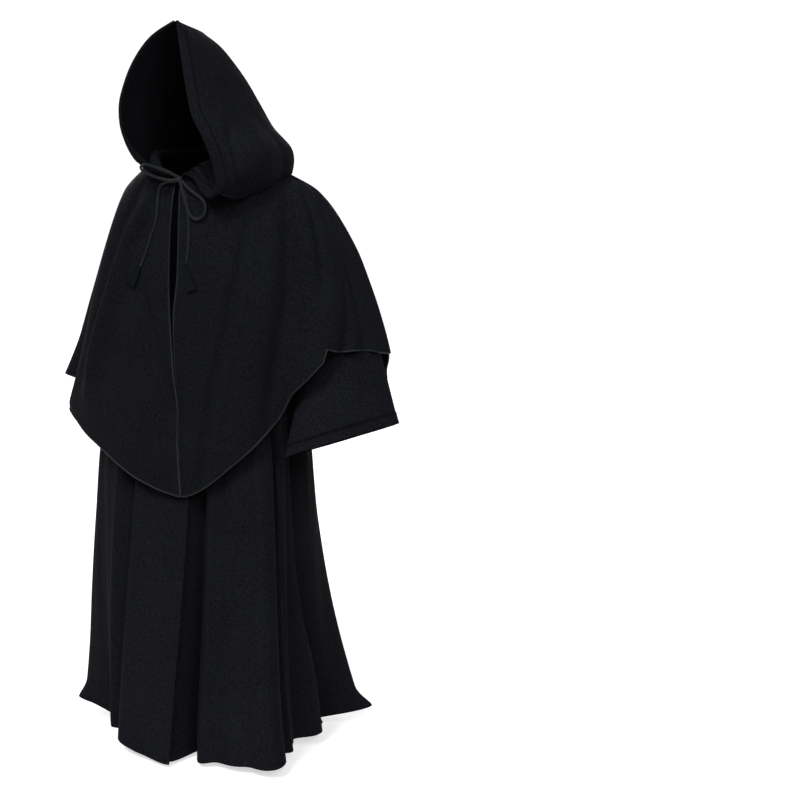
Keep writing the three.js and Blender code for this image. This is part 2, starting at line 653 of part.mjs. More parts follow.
// Point of one half of the hood: u from the face opening to the back seam, v from the neck to the top seam
function hoodPoint(arcs, side, u, v) {
  const clear = mix(WOOL + 2 * SEAM_GAP, HOOD_REST, Math.min(v / HOOD_REST_FULL, 1));
  const line = [restOnCape(drapePoint(CAPE_RINGS, [], [], side * 180 * u, 0), clear)];
  arcs.forEach((arc, i) => {
    const back = HOOD_BACK[i];
    const curve = new THREE.CubicBezierCurve3(
      new THREE.Vector3(arc.x, arc.y, arc.z),
      new THREE.Vector3(arc.reach, arc.y, arc.sideZ),
      new THREE.Vector3(arc.reach, back.y, arc.sideZ),
      new THREE.Vector3(0, back.y, back.z),
    );
    const point = curve.getPoint(u);
    line.push(new THREE.Vector3(side * point.x, point.y, point.z));
  });
  const wave = Math.sin(Math.PI * GATHERS * u) ** 2 * Math.sin(Math.PI * Math.min(v / GATHER_REACH, 1));
  const point = new THREE.Vector3(
    along(line.map((spot) => spot.x), v),
    along(line.map((spot) => spot.y), v),
    along(line.map((spot) => spot.z), v) + GATHER_DEPTH * wave,
  );
  return v < 0.5 ? restOnCape(point, clear) : point;
}

// Share of the way round an arc of the hood at which it is as long as the turned band is wide
function bandShare(arcs, side, v) {
  const points = shares(BAND_STEPS, 0, BAND_REACH).map((u) => hoodPoint(arcs, side, u, v));
  let length = 0;
  const past = points.findIndex((point, i) => {
    length += i > 0 ? point.distanceTo(points[i - 1]) : 0;
    return length >= HOOD_BAND_WIDTH;
  });
  return (BAND_REACH * (past < 0 ? BAND_STEPS : past)) / BAND_STEPS;
}

// Grid of a hood half, whose first columns are as wide as the turned band at the face opening
function hoodGrid(arcs, side) {
  const rows = [0, ...shares(HOOD_ROWS - 2, HOOD_BAND_START, HOOD_BAND_TOP), 1].reverse();
  const columns = shares(HOOD_COLUMNS).map((_, i) => i);
  const bandShares = new Map(rows.map((v) => [v, bandShare(arcs, side, v)]));
  const surface = (i, v) => {
    const band = bandShares.get(v);
    const past = (i - HOOD_BAND_COLUMNS) / (HOOD_COLUMNS - HOOD_BAND_COLUMNS);
    const u = past < 0 ? (band * i) / HOOD_BAND_COLUMNS : mix(band, 1, past);
    return hoodPoint(arcs, side, u, v);
  };
  return clothGrid(surface, columns, rows, { facing: side });
}

for (const [name, arcs, side] of [['left', HOOD_LEFT, 1], ['right', HOOD_RIGHT, -1]]) {
  const grid = hoodGrid(arcs, side);
  const band = bandWall(grid, { columns: [0, HOOD_BAND_COLUMNS], rows: [1, HOOD_ROWS - 1] });
  const under = toSolid(clothWall(grid, -WOOL / 2, WOOL / 2 + SEAM_GAP));
  for (const [part, solid] of [['hood', toSolid(woolWall(grid))], ['hood_band', toSolid(band).subtract(under)]]) {
    add(`${part}_${name}`, toGeometry(solid.trimByPlane([side, 0, 0], SEAM_GAP / 2)), wool);
  }
}

const knotBall = (spare) => {
  const ball = new THREE.SphereGeometry(1, ...KNOT_SEGMENTS);
  ball.scale(KNOT.wide + spare, KNOT.deep + spare, KNOT.high + spare);
  return ball.translate(KNOT.x, KNOT.y, KNOT.z);
};
const aroundKnot = toSolid(knotBall(SEAM_GAP));
add('bow_knot', bare(knotBall(0)), satin);

// Points of the cord, moved off the cape where they would lie too close
const laid = (points) => points.map((point) => restOnCape(new THREE.Vector3(...point), CORD_CLEAR));

function addCord(name, points) {
  const path = new THREE.CatmullRomCurve3(laid(points), false, 'centripetal');
  const steps = Math.round(path.getLength() / CORD_STEP);
  const cord = toSolid(roundAlong(path, steps, CORD_RADIUS, CORD_SIDES));
  add(name, toGeometry(cord.subtract(aroundKnot)), satin);
}

addCord('bow_loop_right', BOW_LOOP_RIGHT);
addCord('bow_loop_left', BOW_LOOP_LEFT);
addCord('cord_end_right', CORD_END_RIGHT);
addCord('cord_end_left', CORD_END_LEFT);

// Flat tab that hangs from the end of a cord and lies on the cape
function addTab(name, points, { length, top, bottom, lean, turn }) {
  const end = laid(points).pop();
  const down = new THREE.Vector3(Math.sin(radians(lean)), 0, -Math.cos(radians(lean)));
  const across = new THREE.Vector3(Math.cos(radians(lean)), Math.sin(radians(turn)), Math.sin(radians(lean)));
  end.addScaledVector(down, SEAM_GAP + WOOL / 2);
  const surface = (u, v) => {
    const point = end.clone().addScaledVector(down, length * v);
    point.addScaledVector(across, (u - 0.5) * mix(top, bottom, v));
    return restOnCape(point, CORD_CLEAR);
  };
  add(name, woolWall(clothGrid(surface, shares(TAB_COLUMNS), shares(TAB_ROWS))), satin);
}

addTab('cord_tab_right', CORD_END_RIGHT, TAB_RIGHT);
addTab('cord_tab_left', CORD_END_LEFT, TAB_LEFT);

export default group;
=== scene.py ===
"""Hooded wool cloak: dresses the frame in napped wool, with a satin binding and a tied satin cord."""

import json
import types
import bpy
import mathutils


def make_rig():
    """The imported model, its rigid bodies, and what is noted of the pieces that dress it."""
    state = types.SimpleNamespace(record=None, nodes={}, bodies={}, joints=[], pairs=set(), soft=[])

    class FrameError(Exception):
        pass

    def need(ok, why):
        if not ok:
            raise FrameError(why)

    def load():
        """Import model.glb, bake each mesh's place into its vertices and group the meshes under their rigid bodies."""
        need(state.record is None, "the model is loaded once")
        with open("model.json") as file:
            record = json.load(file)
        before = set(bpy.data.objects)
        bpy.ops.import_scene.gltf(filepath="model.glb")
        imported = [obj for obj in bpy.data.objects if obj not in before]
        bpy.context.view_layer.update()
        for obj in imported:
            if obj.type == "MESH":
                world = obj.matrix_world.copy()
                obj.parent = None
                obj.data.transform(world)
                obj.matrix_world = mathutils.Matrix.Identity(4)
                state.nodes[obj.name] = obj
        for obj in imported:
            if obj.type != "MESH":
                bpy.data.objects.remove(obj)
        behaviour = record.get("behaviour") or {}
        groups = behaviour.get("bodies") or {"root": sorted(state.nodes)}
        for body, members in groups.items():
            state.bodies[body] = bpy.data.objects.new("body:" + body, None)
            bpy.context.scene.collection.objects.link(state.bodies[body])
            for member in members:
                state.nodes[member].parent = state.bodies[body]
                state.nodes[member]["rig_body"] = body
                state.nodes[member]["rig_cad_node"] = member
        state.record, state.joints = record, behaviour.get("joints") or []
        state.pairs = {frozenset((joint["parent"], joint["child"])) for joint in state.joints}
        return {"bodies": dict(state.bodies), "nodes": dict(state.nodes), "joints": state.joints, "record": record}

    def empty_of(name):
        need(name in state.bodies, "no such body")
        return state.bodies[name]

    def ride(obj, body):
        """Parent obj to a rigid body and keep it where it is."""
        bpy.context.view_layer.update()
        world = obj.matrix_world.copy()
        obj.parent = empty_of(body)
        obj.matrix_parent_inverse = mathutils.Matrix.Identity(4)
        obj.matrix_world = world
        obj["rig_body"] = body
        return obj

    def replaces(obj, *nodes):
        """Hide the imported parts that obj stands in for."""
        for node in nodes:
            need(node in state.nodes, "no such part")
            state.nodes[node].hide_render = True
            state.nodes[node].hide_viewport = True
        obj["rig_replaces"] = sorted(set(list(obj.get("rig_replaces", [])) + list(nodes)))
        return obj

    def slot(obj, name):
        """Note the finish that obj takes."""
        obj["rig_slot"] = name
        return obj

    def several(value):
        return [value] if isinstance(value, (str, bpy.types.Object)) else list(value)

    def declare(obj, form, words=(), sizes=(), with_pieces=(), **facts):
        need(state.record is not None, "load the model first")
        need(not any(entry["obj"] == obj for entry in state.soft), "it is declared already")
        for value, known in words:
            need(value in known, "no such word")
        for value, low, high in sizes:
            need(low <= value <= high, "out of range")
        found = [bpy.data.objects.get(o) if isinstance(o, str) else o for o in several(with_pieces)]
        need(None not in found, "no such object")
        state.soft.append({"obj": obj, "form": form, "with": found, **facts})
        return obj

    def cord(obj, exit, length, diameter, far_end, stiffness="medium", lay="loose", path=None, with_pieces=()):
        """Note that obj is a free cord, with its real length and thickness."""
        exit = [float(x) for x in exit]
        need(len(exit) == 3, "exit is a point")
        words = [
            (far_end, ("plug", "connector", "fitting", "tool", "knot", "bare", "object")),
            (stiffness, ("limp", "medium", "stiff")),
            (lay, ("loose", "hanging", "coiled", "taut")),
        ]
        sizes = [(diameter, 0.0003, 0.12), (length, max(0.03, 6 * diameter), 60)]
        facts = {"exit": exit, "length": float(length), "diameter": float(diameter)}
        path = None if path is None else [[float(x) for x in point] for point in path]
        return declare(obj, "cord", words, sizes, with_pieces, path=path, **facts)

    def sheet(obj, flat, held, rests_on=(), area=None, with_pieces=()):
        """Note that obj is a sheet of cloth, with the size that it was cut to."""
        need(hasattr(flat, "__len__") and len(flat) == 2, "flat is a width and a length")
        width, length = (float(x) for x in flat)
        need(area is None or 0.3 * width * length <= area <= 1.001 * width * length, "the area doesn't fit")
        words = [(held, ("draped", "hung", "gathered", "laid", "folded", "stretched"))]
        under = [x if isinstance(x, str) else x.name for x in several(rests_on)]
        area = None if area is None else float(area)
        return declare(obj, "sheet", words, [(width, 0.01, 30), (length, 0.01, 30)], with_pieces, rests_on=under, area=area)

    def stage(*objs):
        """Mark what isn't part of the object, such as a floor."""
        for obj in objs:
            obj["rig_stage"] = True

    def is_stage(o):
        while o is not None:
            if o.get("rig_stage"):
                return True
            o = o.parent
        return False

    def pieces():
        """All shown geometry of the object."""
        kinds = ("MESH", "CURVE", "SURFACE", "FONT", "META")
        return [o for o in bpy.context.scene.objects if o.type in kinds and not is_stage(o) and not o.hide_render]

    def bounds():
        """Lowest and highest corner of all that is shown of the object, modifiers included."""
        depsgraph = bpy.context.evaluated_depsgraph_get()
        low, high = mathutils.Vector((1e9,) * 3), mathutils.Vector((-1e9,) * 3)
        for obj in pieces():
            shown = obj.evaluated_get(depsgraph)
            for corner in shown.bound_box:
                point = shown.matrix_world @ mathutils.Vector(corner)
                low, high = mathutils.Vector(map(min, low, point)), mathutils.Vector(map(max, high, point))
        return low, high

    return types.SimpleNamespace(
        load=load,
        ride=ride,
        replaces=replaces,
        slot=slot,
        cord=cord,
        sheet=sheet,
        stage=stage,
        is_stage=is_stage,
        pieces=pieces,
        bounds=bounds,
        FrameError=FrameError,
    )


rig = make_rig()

bl_info = {
    "name": "Hooded wool cloak",
    "version": (1, 0, 0),
    "blender": (4, 5, 0),
    "location": "3D View > Sidebar > Cloak",
    "description": "Robe with bell sleeves, pointed shoulder cape, hood and tied cord",
    "category": "Add Mesh",
}

import json
from collections import namedtuple
from itertools import product
from math import atan, ceil, cos, pi, radians, sin

import bmesh
import bpy
import numpy as np
from bpy.props import FloatProperty, FloatVectorProperty, PointerProperty
from mathutils import Vector
from mathutils.kdtree import KDTree

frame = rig.load()
cad_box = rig.bounds()

# The tables below are in millimetres. Pieces are built in metres.
MM = 0.001

# Cloth, as in the frame: the wool, the gap at its seams, a turned band and its way from the wool's middle,
# and the sleeves' clearance from the robe
WOOL = 2.0
SEAM_GAP = 0.3
BAND = 1.2
ON_WOOL = WOOL / 2 + BAND / 2
ROBE_CLEARANCE = 0.8

# How square robe and cape are from above, where 2 is round, and the angle from which an edge is crisp
SQUARENESS = 2.25
CRISP_ANGLE = 50

# Section of tapes and rolled edges: its sides, and how square it is
STRAND_SIDES = 14
STRAND_ROUNDING = 0.8
BINDING_THICKNESS = 1.9
HOOD_EDGE = (4, 3.4)

# Side seams of robe and cape at the hem, in degrees round from the centre front
ROBE_SEAM = 96
CAPE_SEAM = 98

Ring = namedtuple("Ring", "front front_z left left_z right right_z side_y back back_z")
Fold = namedtuple("Fold", "neck hem width depth start late kick", defaults=(0.8, 0))
Crease = namedtuple("Crease", "top foot angles width depth lean", defaults=(0,))
Arc = namedtuple("Arc", "x y z reach side_z")
HoodFold = namedtuple("HoodFold", "top foot ways width depth")
SleeveRing = namedtuple("SleeveRing", "x y z wide deep turn")
Tab = namedtuple("Tab", "end lean turn length top bottom")
Lamp = namedtuple("Lamp", "name place power spread")

# Each ring of cloth: how far it lies ahead, at the left, at the right and behind, with its height at
# each, and how far behind the axis its widest line lies
CAPE_RINGS = [
    Ring(132, -6, 86, 52, 86, 52, -38, 52, 70),
    Ring(148, -62, 200, -4, 192, -4, 45, 160, 18),
    Ring(160, -150, 264, -50, 234, -54, 50, 222, -60),
    Ring(168, -265, 322, -150, 280, -155, 52, 245, -195),
    Ring(165, -400, 367, -262, 328, -268, 60, 257, -360),
    Ring(156, -560, 395, -345, 376, -384, 66, 266, -530),
    Ring(142, -729, 413, -402, 426, -476, 70, 272, -700),
]
ROBE_RINGS = [
    Ring(129, -6, 83, 49, 83, 49, -38, 49, 67),
    Ring(125, -75, 148, -20, 148, -20, 5, 118, -20),
    Ring(125, -170, 180, -100, 180, -100, 8, 150, -120),
    Ring(124, -310, 196, -250, 202, -250, 8, 165, -280),
    Ring(120, -470, 214, -440, 250, -440, 8, 178, -460),
    Ring(118, -640, 236, -630, 294, -630, 8, 195, -640),
    Ring(134, -820, 246, -820, 310, -810, 8, 212, -820),
    Ring(162, -1000, 256, -1000, 316, -985, 8, 230, -1000),
    Ring(195, -1170, 270, -1165, 314, -1145, 8, 246, -1165),
    Ring(222, -1330, 288, -1312, 316, -1276, 8, 262, -1312),
]

# Folds run straight down the cloth: the angle at neck and hem, the width in degrees, how far the fold
# stands out at the hem (less than 0 is a trough), where it starts, how late it grows, and how far its hem
# kicks out
CAPE_FOLDS = [
    Fold(-154, -156, 9, -26, 0.3),
    Fold(-128, -130, 11, 24, 0.3),
    Fold(-62, -69, 7, -66, 0.2, 1.2),
    Fold(-47, -54, 7, 0, 0.1, 0.8, -8),
    Fold(78, 33, 5, -22, 0.12),
    Fold(92, 46, 7, 14, 0.3),
    Fold(104, 59, 4, -16, 0.5),
    Fold(136, 128, 11, 26, 0.3),
    Fold(156, 154, 9, -28, 0.3),
    Fold(180, 180, 11, 22, 0.25),
]
ROBE_FOLDS = [
    Fold(-160, -158, 8, -30, 0.4),
    Fold(-138, -136, 10, 44, 0.42, 1, 8),
    Fold(-114, -111, 9, -30, 0.4),
    Fold(-86, -83, 8, 34, 0.55, 1.6, 16),
    Fold(-58, -58, 13, -56, 0.38, 1.7),
    Fold(-40, -38, 11, -24, 0.45, 1.8),
    Fold(-20, -20, 8, 4, 0.6),
    Fold(0, 0, 7, 18, 0.6),
    Fold(24, 26, 6, 8, 0.55),
    Fold(38, 43, 12, 72, 0.46, 0.9, 8),
    Fold(66, 78, 11, -58, 0.36),
    Fold(92, 104, 10, -34, 0.5, 1),
    Fold(124, 130, 9, 84, 0.5, 1.8, 26),
    Fold(152, 156, 8, -28, 0.4),
    Fold(176, 178, 9, 42, 0.35, 0.8, 6),
]
KICK_BEGINS = 0.95

# Each panel's cut: the width and length of the cloth it takes, in metres, and its area in square metres
CUTS = {
    "robe_back": (1.11, 1.44, 0.97),
    "robe_front_right": (0.58, 1.39, 0.52),
    "robe_front_left": (0.7, 1.41, 0.58),
    "sleeve_left": (0.64, 0.65, 0.27),
    "sleeve_right": (0.47, 0.61, 0.21),
    "cape_front_left": (0.74, 0.73, 0.32),
    "cape_front_right": (0.67, 0.73, 0.31),
    "cape_back": (1.16, 0.87, 0.56),
    "hood_left": (0.57, 0.61, 0.24),
    "hood_right": (0.5, 0.58, 0.155),
}

# How far the hem has risen from its height at the front to that at the side, every 15 degrees round
RISE_LEFT = [0, 0.24, 0.53, 0.865, 1.02, 1.03, 1]
RISE_RIGHT = [0, 0.15, 0.39, 0.6, 0.72, 0.98, 1]
RISE_BACK = [0, 0.07, 0.26, 0.52, 0.77, 0.95, 1]

# The robe's left front runs under the right one, and has a deep pleat beside its edge
CENTRE_PLEAT = Fold(7, 5.4, 4, -80, 0.3)
RIGHT_FRONT_EDGE = 0.8
LEFT_FRONT_EDGE = -10
UNDERLAP_ANGLES = (12, 4)
UNDERLAP_DROP = 5

# The cape's front opening: half its width at the ends, what the middle adds, and where it closes
OPENING_LEAST = 5.4
OPENING_MORE = 6
OPENING_ENDS = 0.78
# Between these levels its left edge goes under the right one, and turns past the centre
LAP_LEVELS = (0.42, 0.66)
LAP_TURN = 2.2
LAP_DEPTH = 5.5
LAP_WIDTH = 22
# The cape's left hem steps up over the arm: by what share of the length it is shorter, at angles along it
STEP_ANGLES = (33, 36, 42, 46.8, 47, 62)
STEP_CUTS = (0, 0.037, 0.033, 0.057, 0.115, 0)

# Arcs of the hood from the face opening, out to the side, to the seam at the back. reach is how far out
# their handles lie, and side_z is the height of those. HOOD_BACK has the other ends, on the seam.
HOOD_BACK = [
    (92, 62), (142, 44), (186, 16), (216, 30), (222, 82),
    (205, 140), (178, 195), (128, 250), (66, 294), (0, 322),
]
HOOD_LEFT = [
    Arc(44, -150, -4, 120, 46),
    Arc(82, -171, -38, 170, 4),
    Arc(109, -184, -50, 212, -18),
    Arc(128, -190, -22, 240, 2),
    Arc(120, -194, 26, 240, 60),
    Arc(98, -197, 80, 176, 112),
    Arc(72, -195, 130, 138, 164),
    Arc(50, -182, 206, 94, 232),
    Arc(26, -158, 282, 46, 294),
    Arc(0.4, -124, 338, 0.4, 330),
]
HOOD_RIGHT = [
    Arc(30, -150, 4, 116, 46),
    Arc(52, -170, 18, 124, 26),
    Arc(70, -184, 38, 120, 20),
    Arc(87, -193, 62, 120, 40),
    Arc(100, -198, 92, 118, 78),
    Arc(106, -198, 128, 114, 124),
    Arc(104, -192, 172, 102, 174),
    Arc(84, -176, 240, 72, 240),
    Arc(50, -154, 298, 38, 296),
    Arc(0.4, -124, 338, 0.4, 330),
]
# Shares of the hood's height: the part over the cape, its turned band, and where its least clearance, its
# gathers and its neck waves end
HOOD_OVER_CAPE = 0.5
HOOD_BAND_SPAN = (0.08, 0.985)
HOOD_REST_FULL = 0.07
GATHER_ENDS = 0.3
NECK_WAVES_END = 0.34
HOOD_REST = 6.5
NECK_WAVES = 9
NECK_WAVE_HEIGHT = 5
GATHERS = 21
GATHER_DEPTH = 12
GATHER_SLANT = 0.15
# The hood's lower edge sags, and is drawn in to this distance from the cape
HOOD_SAG = 15
HOOD_FLAT = 8
HOOD_DRAW = 0.85
HOOD_DRAW_MOST = 60
HOOD_LEAST = 4
SEAM_ROLL = 1.5
SEAM_INSIDE = 0.9
# How much wider than the band its inner facing is
FACING_SHARE = 1.7

# Rings of the sleeves: centre, half width along the cuff, half depth across it, and the way the cuff runs
SLEEVE_LEFT = [
    SleeveRing(120, 12, -76, 56, 54, 0),
    SleeveRing(184, 18, -114, 58, 56, 4),
    SleeveRing(244, 30, -208, 62, 58, 12),
    SleeveRing(298, 36, -330, 74, 60, 26),
    SleeveRing(328, 16, -455, 98, 60, 38),
    SleeveRing(347, -20, -596, 133, 60, 42),
]
SLEEVE_RIGHT = [
    SleeveRing(120, 12, -76, 56, 54, 0),
    SleeveRing(180, 18, -116, 58, 54, 10),
    SleeveRing(226, 30, -210, 62, 48, 30),
    SleeveRing(270, 48, -325, 76, 42, 60),
    SleeveRing(300, 78, -440, 90, 32, 80),
    SleeveRing(322, 96, -556, 108, 28, 90),
]
LEFT_CUFF_TILT = 40

# Cord, tied in a bow at the neck: how far its middle keeps from the cape, the step between its points, and
# how far it turns to face the front. Its routes start at the knot.
CORD_CLEAR = 4.4
CORD_STEP = 3
CORD_FACES = (0, -0.6, 0)
TAPE_THICKNESS = 1.5
KNOT_PLACE = (9, -148, -9)
KNOT_SIZE = (9.5, 6.5, 8)
KNOT_WRAP = 0.07
ROUTES = {
    "bow_loop_right": [
        (6, -150, -4), (-14, -160, 8), (-34, -172, 16), (-52, -188, 22), (-60, -194, 15),
        (-53, -187, 5), (-34, -168, -6), (-12, -154, -12), (5, -150, -11),
    ],
    "bow_loop_left": [
        (12, -149, -9), (28, -150, -26), (46, -150, -40), (66, -150, -54), (77, -154, -70),
        (75, -157, -86), (60, -160, -98), (44, -162, -90), (32, -160, -66), (13, -151, -14),
    ],
    "cord_end_right": [
        (5, -147, -13), (-30, -142, -17), (-45, -142, -34), (-46, -153, -94), (-61, -157, -141),
        (-74, -159, -177), (-86, -160, -202),
    ],
    "cord_end_left": [
        (10, -147, -14), (18, -146, -30), (28, -150, -56), (36, -157, -105), (38, -162, -145),
        (36, -165, -176), (34, -167, -196),
    ],
}
# Tabs: the end each is on, its lean and turn in degrees, its length, and its width at top and bottom
TAB_GAP = 1.3
TABS = {
    "right": Tab("cord_end_right", -36, -9, 50, 6, 34),
    "left": Tab("cord_end_left", 13, 3, 60, 6, 26),
}

# Folds of the hood's left (1) and right (-1) half: the shares of its height that each runs between, its
# distances from the face opening on the way, its width, and how far it stands out
HOOD_FOLDS = {
    1: [
        HoodFold(0.7, 0.2, (100, 62, 44, 60, 80), 15, -9),
        HoodFold(0.68, 0.26, (140, 128, 120, 118), 34, 7),
        HoodFold(0.52, 0.24, (150, 116, 100, 82), 15, -7),
        HoodFold(0.38, 0.14, (50, 84, 100), 40, 8),
        HoodFold(0.92, 0.5, (70, 120, 180), 40, 5),
        HoodFold(0.62, 0.3, (240, 226, 214), 22, -6),
    ],
    -1: [
        HoodFold(0.8, 0.4, (60, 90, 120), 24, -6),
        HoodFold(0.6, 0.2, (180, 200, 210), 26, 6),
    ],
}
# Creases of cape and robe: the levels that each runs between, its hem angles on the way, its width in
# degrees, how far it stands out, and how much its two sides differ
CAPE_CREASES = [
    Crease(0.08, 0.97, (-24, -30, -36.5, -42, -46), 6, 13, 2.4),
    Crease(0.06, 0.55, (-39, -37, -43, -46), 3.5, -9),
    Crease(0.06, 0.42, (-20, -18, -19, -22), 3.2, -8),
    Crease(0.06, 0.3, (-7, -6, -5), 2.2, -6),
    Crease(0.42, 0.9, (-20, -14, -8, -3, 1), 3.2, -13, 0.4),
    Crease(0.2, 1.15, (22.5, 18.5, 14, 9.5, 5.5, 1.5), 2, -9, -1.2),
    Crease(0.2, 1.1, (35, 33, 30.5, 28.5, 29), 4.6, -15, -1),
    Crease(0.1, 0.6, (26, 24, 22, 24), 4, -7, 0.5),
    Crease(0.12, 0.75, (52, 48, 45, 44), 4, -15),
    Crease(0.1, 0.5, (66, 62, 60), 4, -10),
    Crease(0.45, 1.2, (64, 68, 72, 74), 5, -13, 0.6),
    Crease(0.3, 1.2, (88, 90, 92), 6, 12),
]
ROBE_CREASES = [
    Crease(0.35, 1.3, (-30, -33, -36, -40, -44), 4.5, -18, 1.5),
    Crease(0.35, 1.1, (-16, -18, -20), 6, -9),
    Crease(0.4, 1.3, (18, 17, 19, 22), 5, -12, 0.5),
    Crease(0.4, 1.3, (36, 35, 33), 4, -10, 0.5),
    Crease(0.35, 1.3, (60, 58, 55, 53), 3.4, -22, 0.6),
    Crease(0.5, 1.3, (64, 66, 70), 4, -10),
    Crease(0.36, 1.25, (92, 93, 99, 120, 134), 6.5, -46),
]

# Fine waves all over the cloth: how high they are, and how far apart, across the cloth and down it
CAPE_WAVE = 2.2
ROBE_WAVE = 2.4
HOOD_WAVE = 1.6
SLEEVE_WAVE = 0.02
WIDE_WAVES = (46, 46, 420)
FINE_WAVES = (21, 21, 170)
FINE_SHARE = 0.45
HOOD_WAVES = (55, 55, 80)
SLEEVE_WAVES = (60, 60, 300)
# Measure that they lie on: radius of robe and cape, radius of a sleeve, and length
ROUND_BODY = 300
ROUND_SLEEVE = 200
LENGTH = 900

# The picture's width, its focal length and how far its middle lies beside the cloak's axis, in pixels.
# Then the camera's sensor in millimetres, its place in metres and its angles in degrees.
PICTURE_WIDTH = 800
FOCAL_LENGTH = 1392
BESIDE_AXIS = 191
SENSOR = 36
CAMERA_AWAY = 3.3
CAMERA_HEIGHT = -0.12
CAMERA_ROUND = 28
CAMERA_DOWN = 7

# Lamps, with their places in metres and how wide they are in degrees, and light from all round
LAMPS = [
    Lamp("left_lamp", (-0.5, -3.2, 3.7), 1.62, 20),
    Lamp("right_lamp", (2.6, -2.8, 2.7), 1.05, 34),
    Lamp("back_lamp", (-2.1, 2.9, 1.6), 1.8, 30),
    Lamp("far_lamp", (-3.6, 1, 1.6), 0.3, 50),
]
AMBIENT = 0.055
FLOOR_HALF = 12


def mix(a, b, share):
    return a + (b - a) * share


def smooth(start, end, value):
    t = np.clip((value - start) / (end - start), 0, 1)
    return t * t * (3 - 2 * t)


def along(values, t):
    """Value at share t along evenly spaced values, on a smooth curve through them."""
    values, t = np.asarray(values, float), np.asarray(t, float)
    last = len(values) - 1
    place = np.clip(t, 0, 1) * last
    i = np.minimum(place.astype(int), last - 1)
    f = place - i

    def pick(k):
        k = np.clip(k, 0, last)
        return values[k] if values.ndim == 1 else np.take_along_axis(values, k[None], 0)[0]

    a, b, c, d = (pick(i + k) for k in (-1, 0, 1, 2))
    bend = (2 * a - 5 * b + 4 * c - d) * f * f + (3 * b - a - 3 * c + d) * f * f * f
    return b + 0.5 * ((c - a) * f + bend)


def matched(*values):
    """The values as arrays of one shape."""
    return np.broadcast_arrays(*(np.asarray(value, float) for value in values))


def turn_between(a, b):
    """Degrees from b to a, from -180 to 180."""
    return (np.asarray(a, float) - b + 540) % 360 - 180


def bulged(share, power):
    """Cosine or sine raised to a power, which makes a circle squarer as the power falls below 1."""
    return np.sign(share) * np.abs(share) ** power


def unit(vectors):
    return vectors / np.maximum(np.linalg.norm(vectors, axis=-1, keepdims=True), 1e-9)


def lengths_along(points, axis=0):
    """Distance of each point from the start of its line, which runs along the axis."""
    steps = np.linalg.norm(np.diff(points, axis=axis), axis=-1)
    start = np.zeros_like(np.take(steps, [0], axis))
    return np.concatenate([start, np.cumsum(steps, axis=axis)], axis)


def points_at(marks, lengths, line):
    """Points of a line at distances from its start."""
    return np.stack([np.interp(marks, lengths, line[:, k]) for k in range(3)], -1)


# Large uneven numbers, which spread the values at the corners evenly from -1 to 1
HASH_STEPS = (127.1, 311.7, 74.7)
HASH_SCALE = 43758.5453


def ripple(points, size):
    """Smooth noise from -1 to 1, with waves about size apart along each axis."""
    place = points / np.asarray(size, float)
    cell = np.floor(place)
    f = place - cell
    f = f * f * f * (f * (6 * f - 15) + 10)
    total = 0
    for corner in product((0, 1), repeat=3):
        weight = np.prod(np.where(corner, f, 1 - f), axis=-1)
        n = np.sin((cell + corner) @ np.array(HASH_STEPS)) * HASH_SCALE
        total = total + weight * (2 * (n - np.floor(n)) - 1)
    return total


def neck_angle(folds, hem_angle):
    """Angle at the neck of the line that reaches the hem at an angle. Such lines run along the folds."""
    ends = [(-180, -180), (0, 0), (180, 180)]
    guides = sorted([(fold.hem, fold.neck) for fold in folds] + ends)
    hem = turn_between(hem_angle, 0)
    return hem_angle - hem + np.interp(hem, [g[0] for g in guides], [g[1] for g in guides])


def fold_depth(folds, hem_angle, level):
    """How far the folds move the cloth out, on the line that reaches the hem at an angle."""
    depth = 0
    for fold in folds:
        off = turn_between(hem_angle, fold.hem) / fold.width
        grown = np.maximum((level - fold.start) / (1 - fold.start), 0) ** fold.late
        out = fold.depth * grown + fold.kick * smooth(KICK_BEGINS, 1, level)
        depth = depth + out * np.exp(-off * off)
    return depth


def crease_depth(creases, hem_angle, level):
    """How far soft creases move the cloth out. Each runs from one angle and level to another."""
    depth = 0
    for crease in creases:
        share = np.clip((level - crease.top) / (crease.foot - crease.top), 0, 1)
        off = turn_between(hem_angle, along(crease.angles, share)) / crease.width
        shape = np.exp(-off * off) * (1 + crease.lean * off)
        fade = smooth(0, 0.3, share) * smooth(1, 0.75, share)
        depth = depth + crease.depth * shape * fade
    return depth


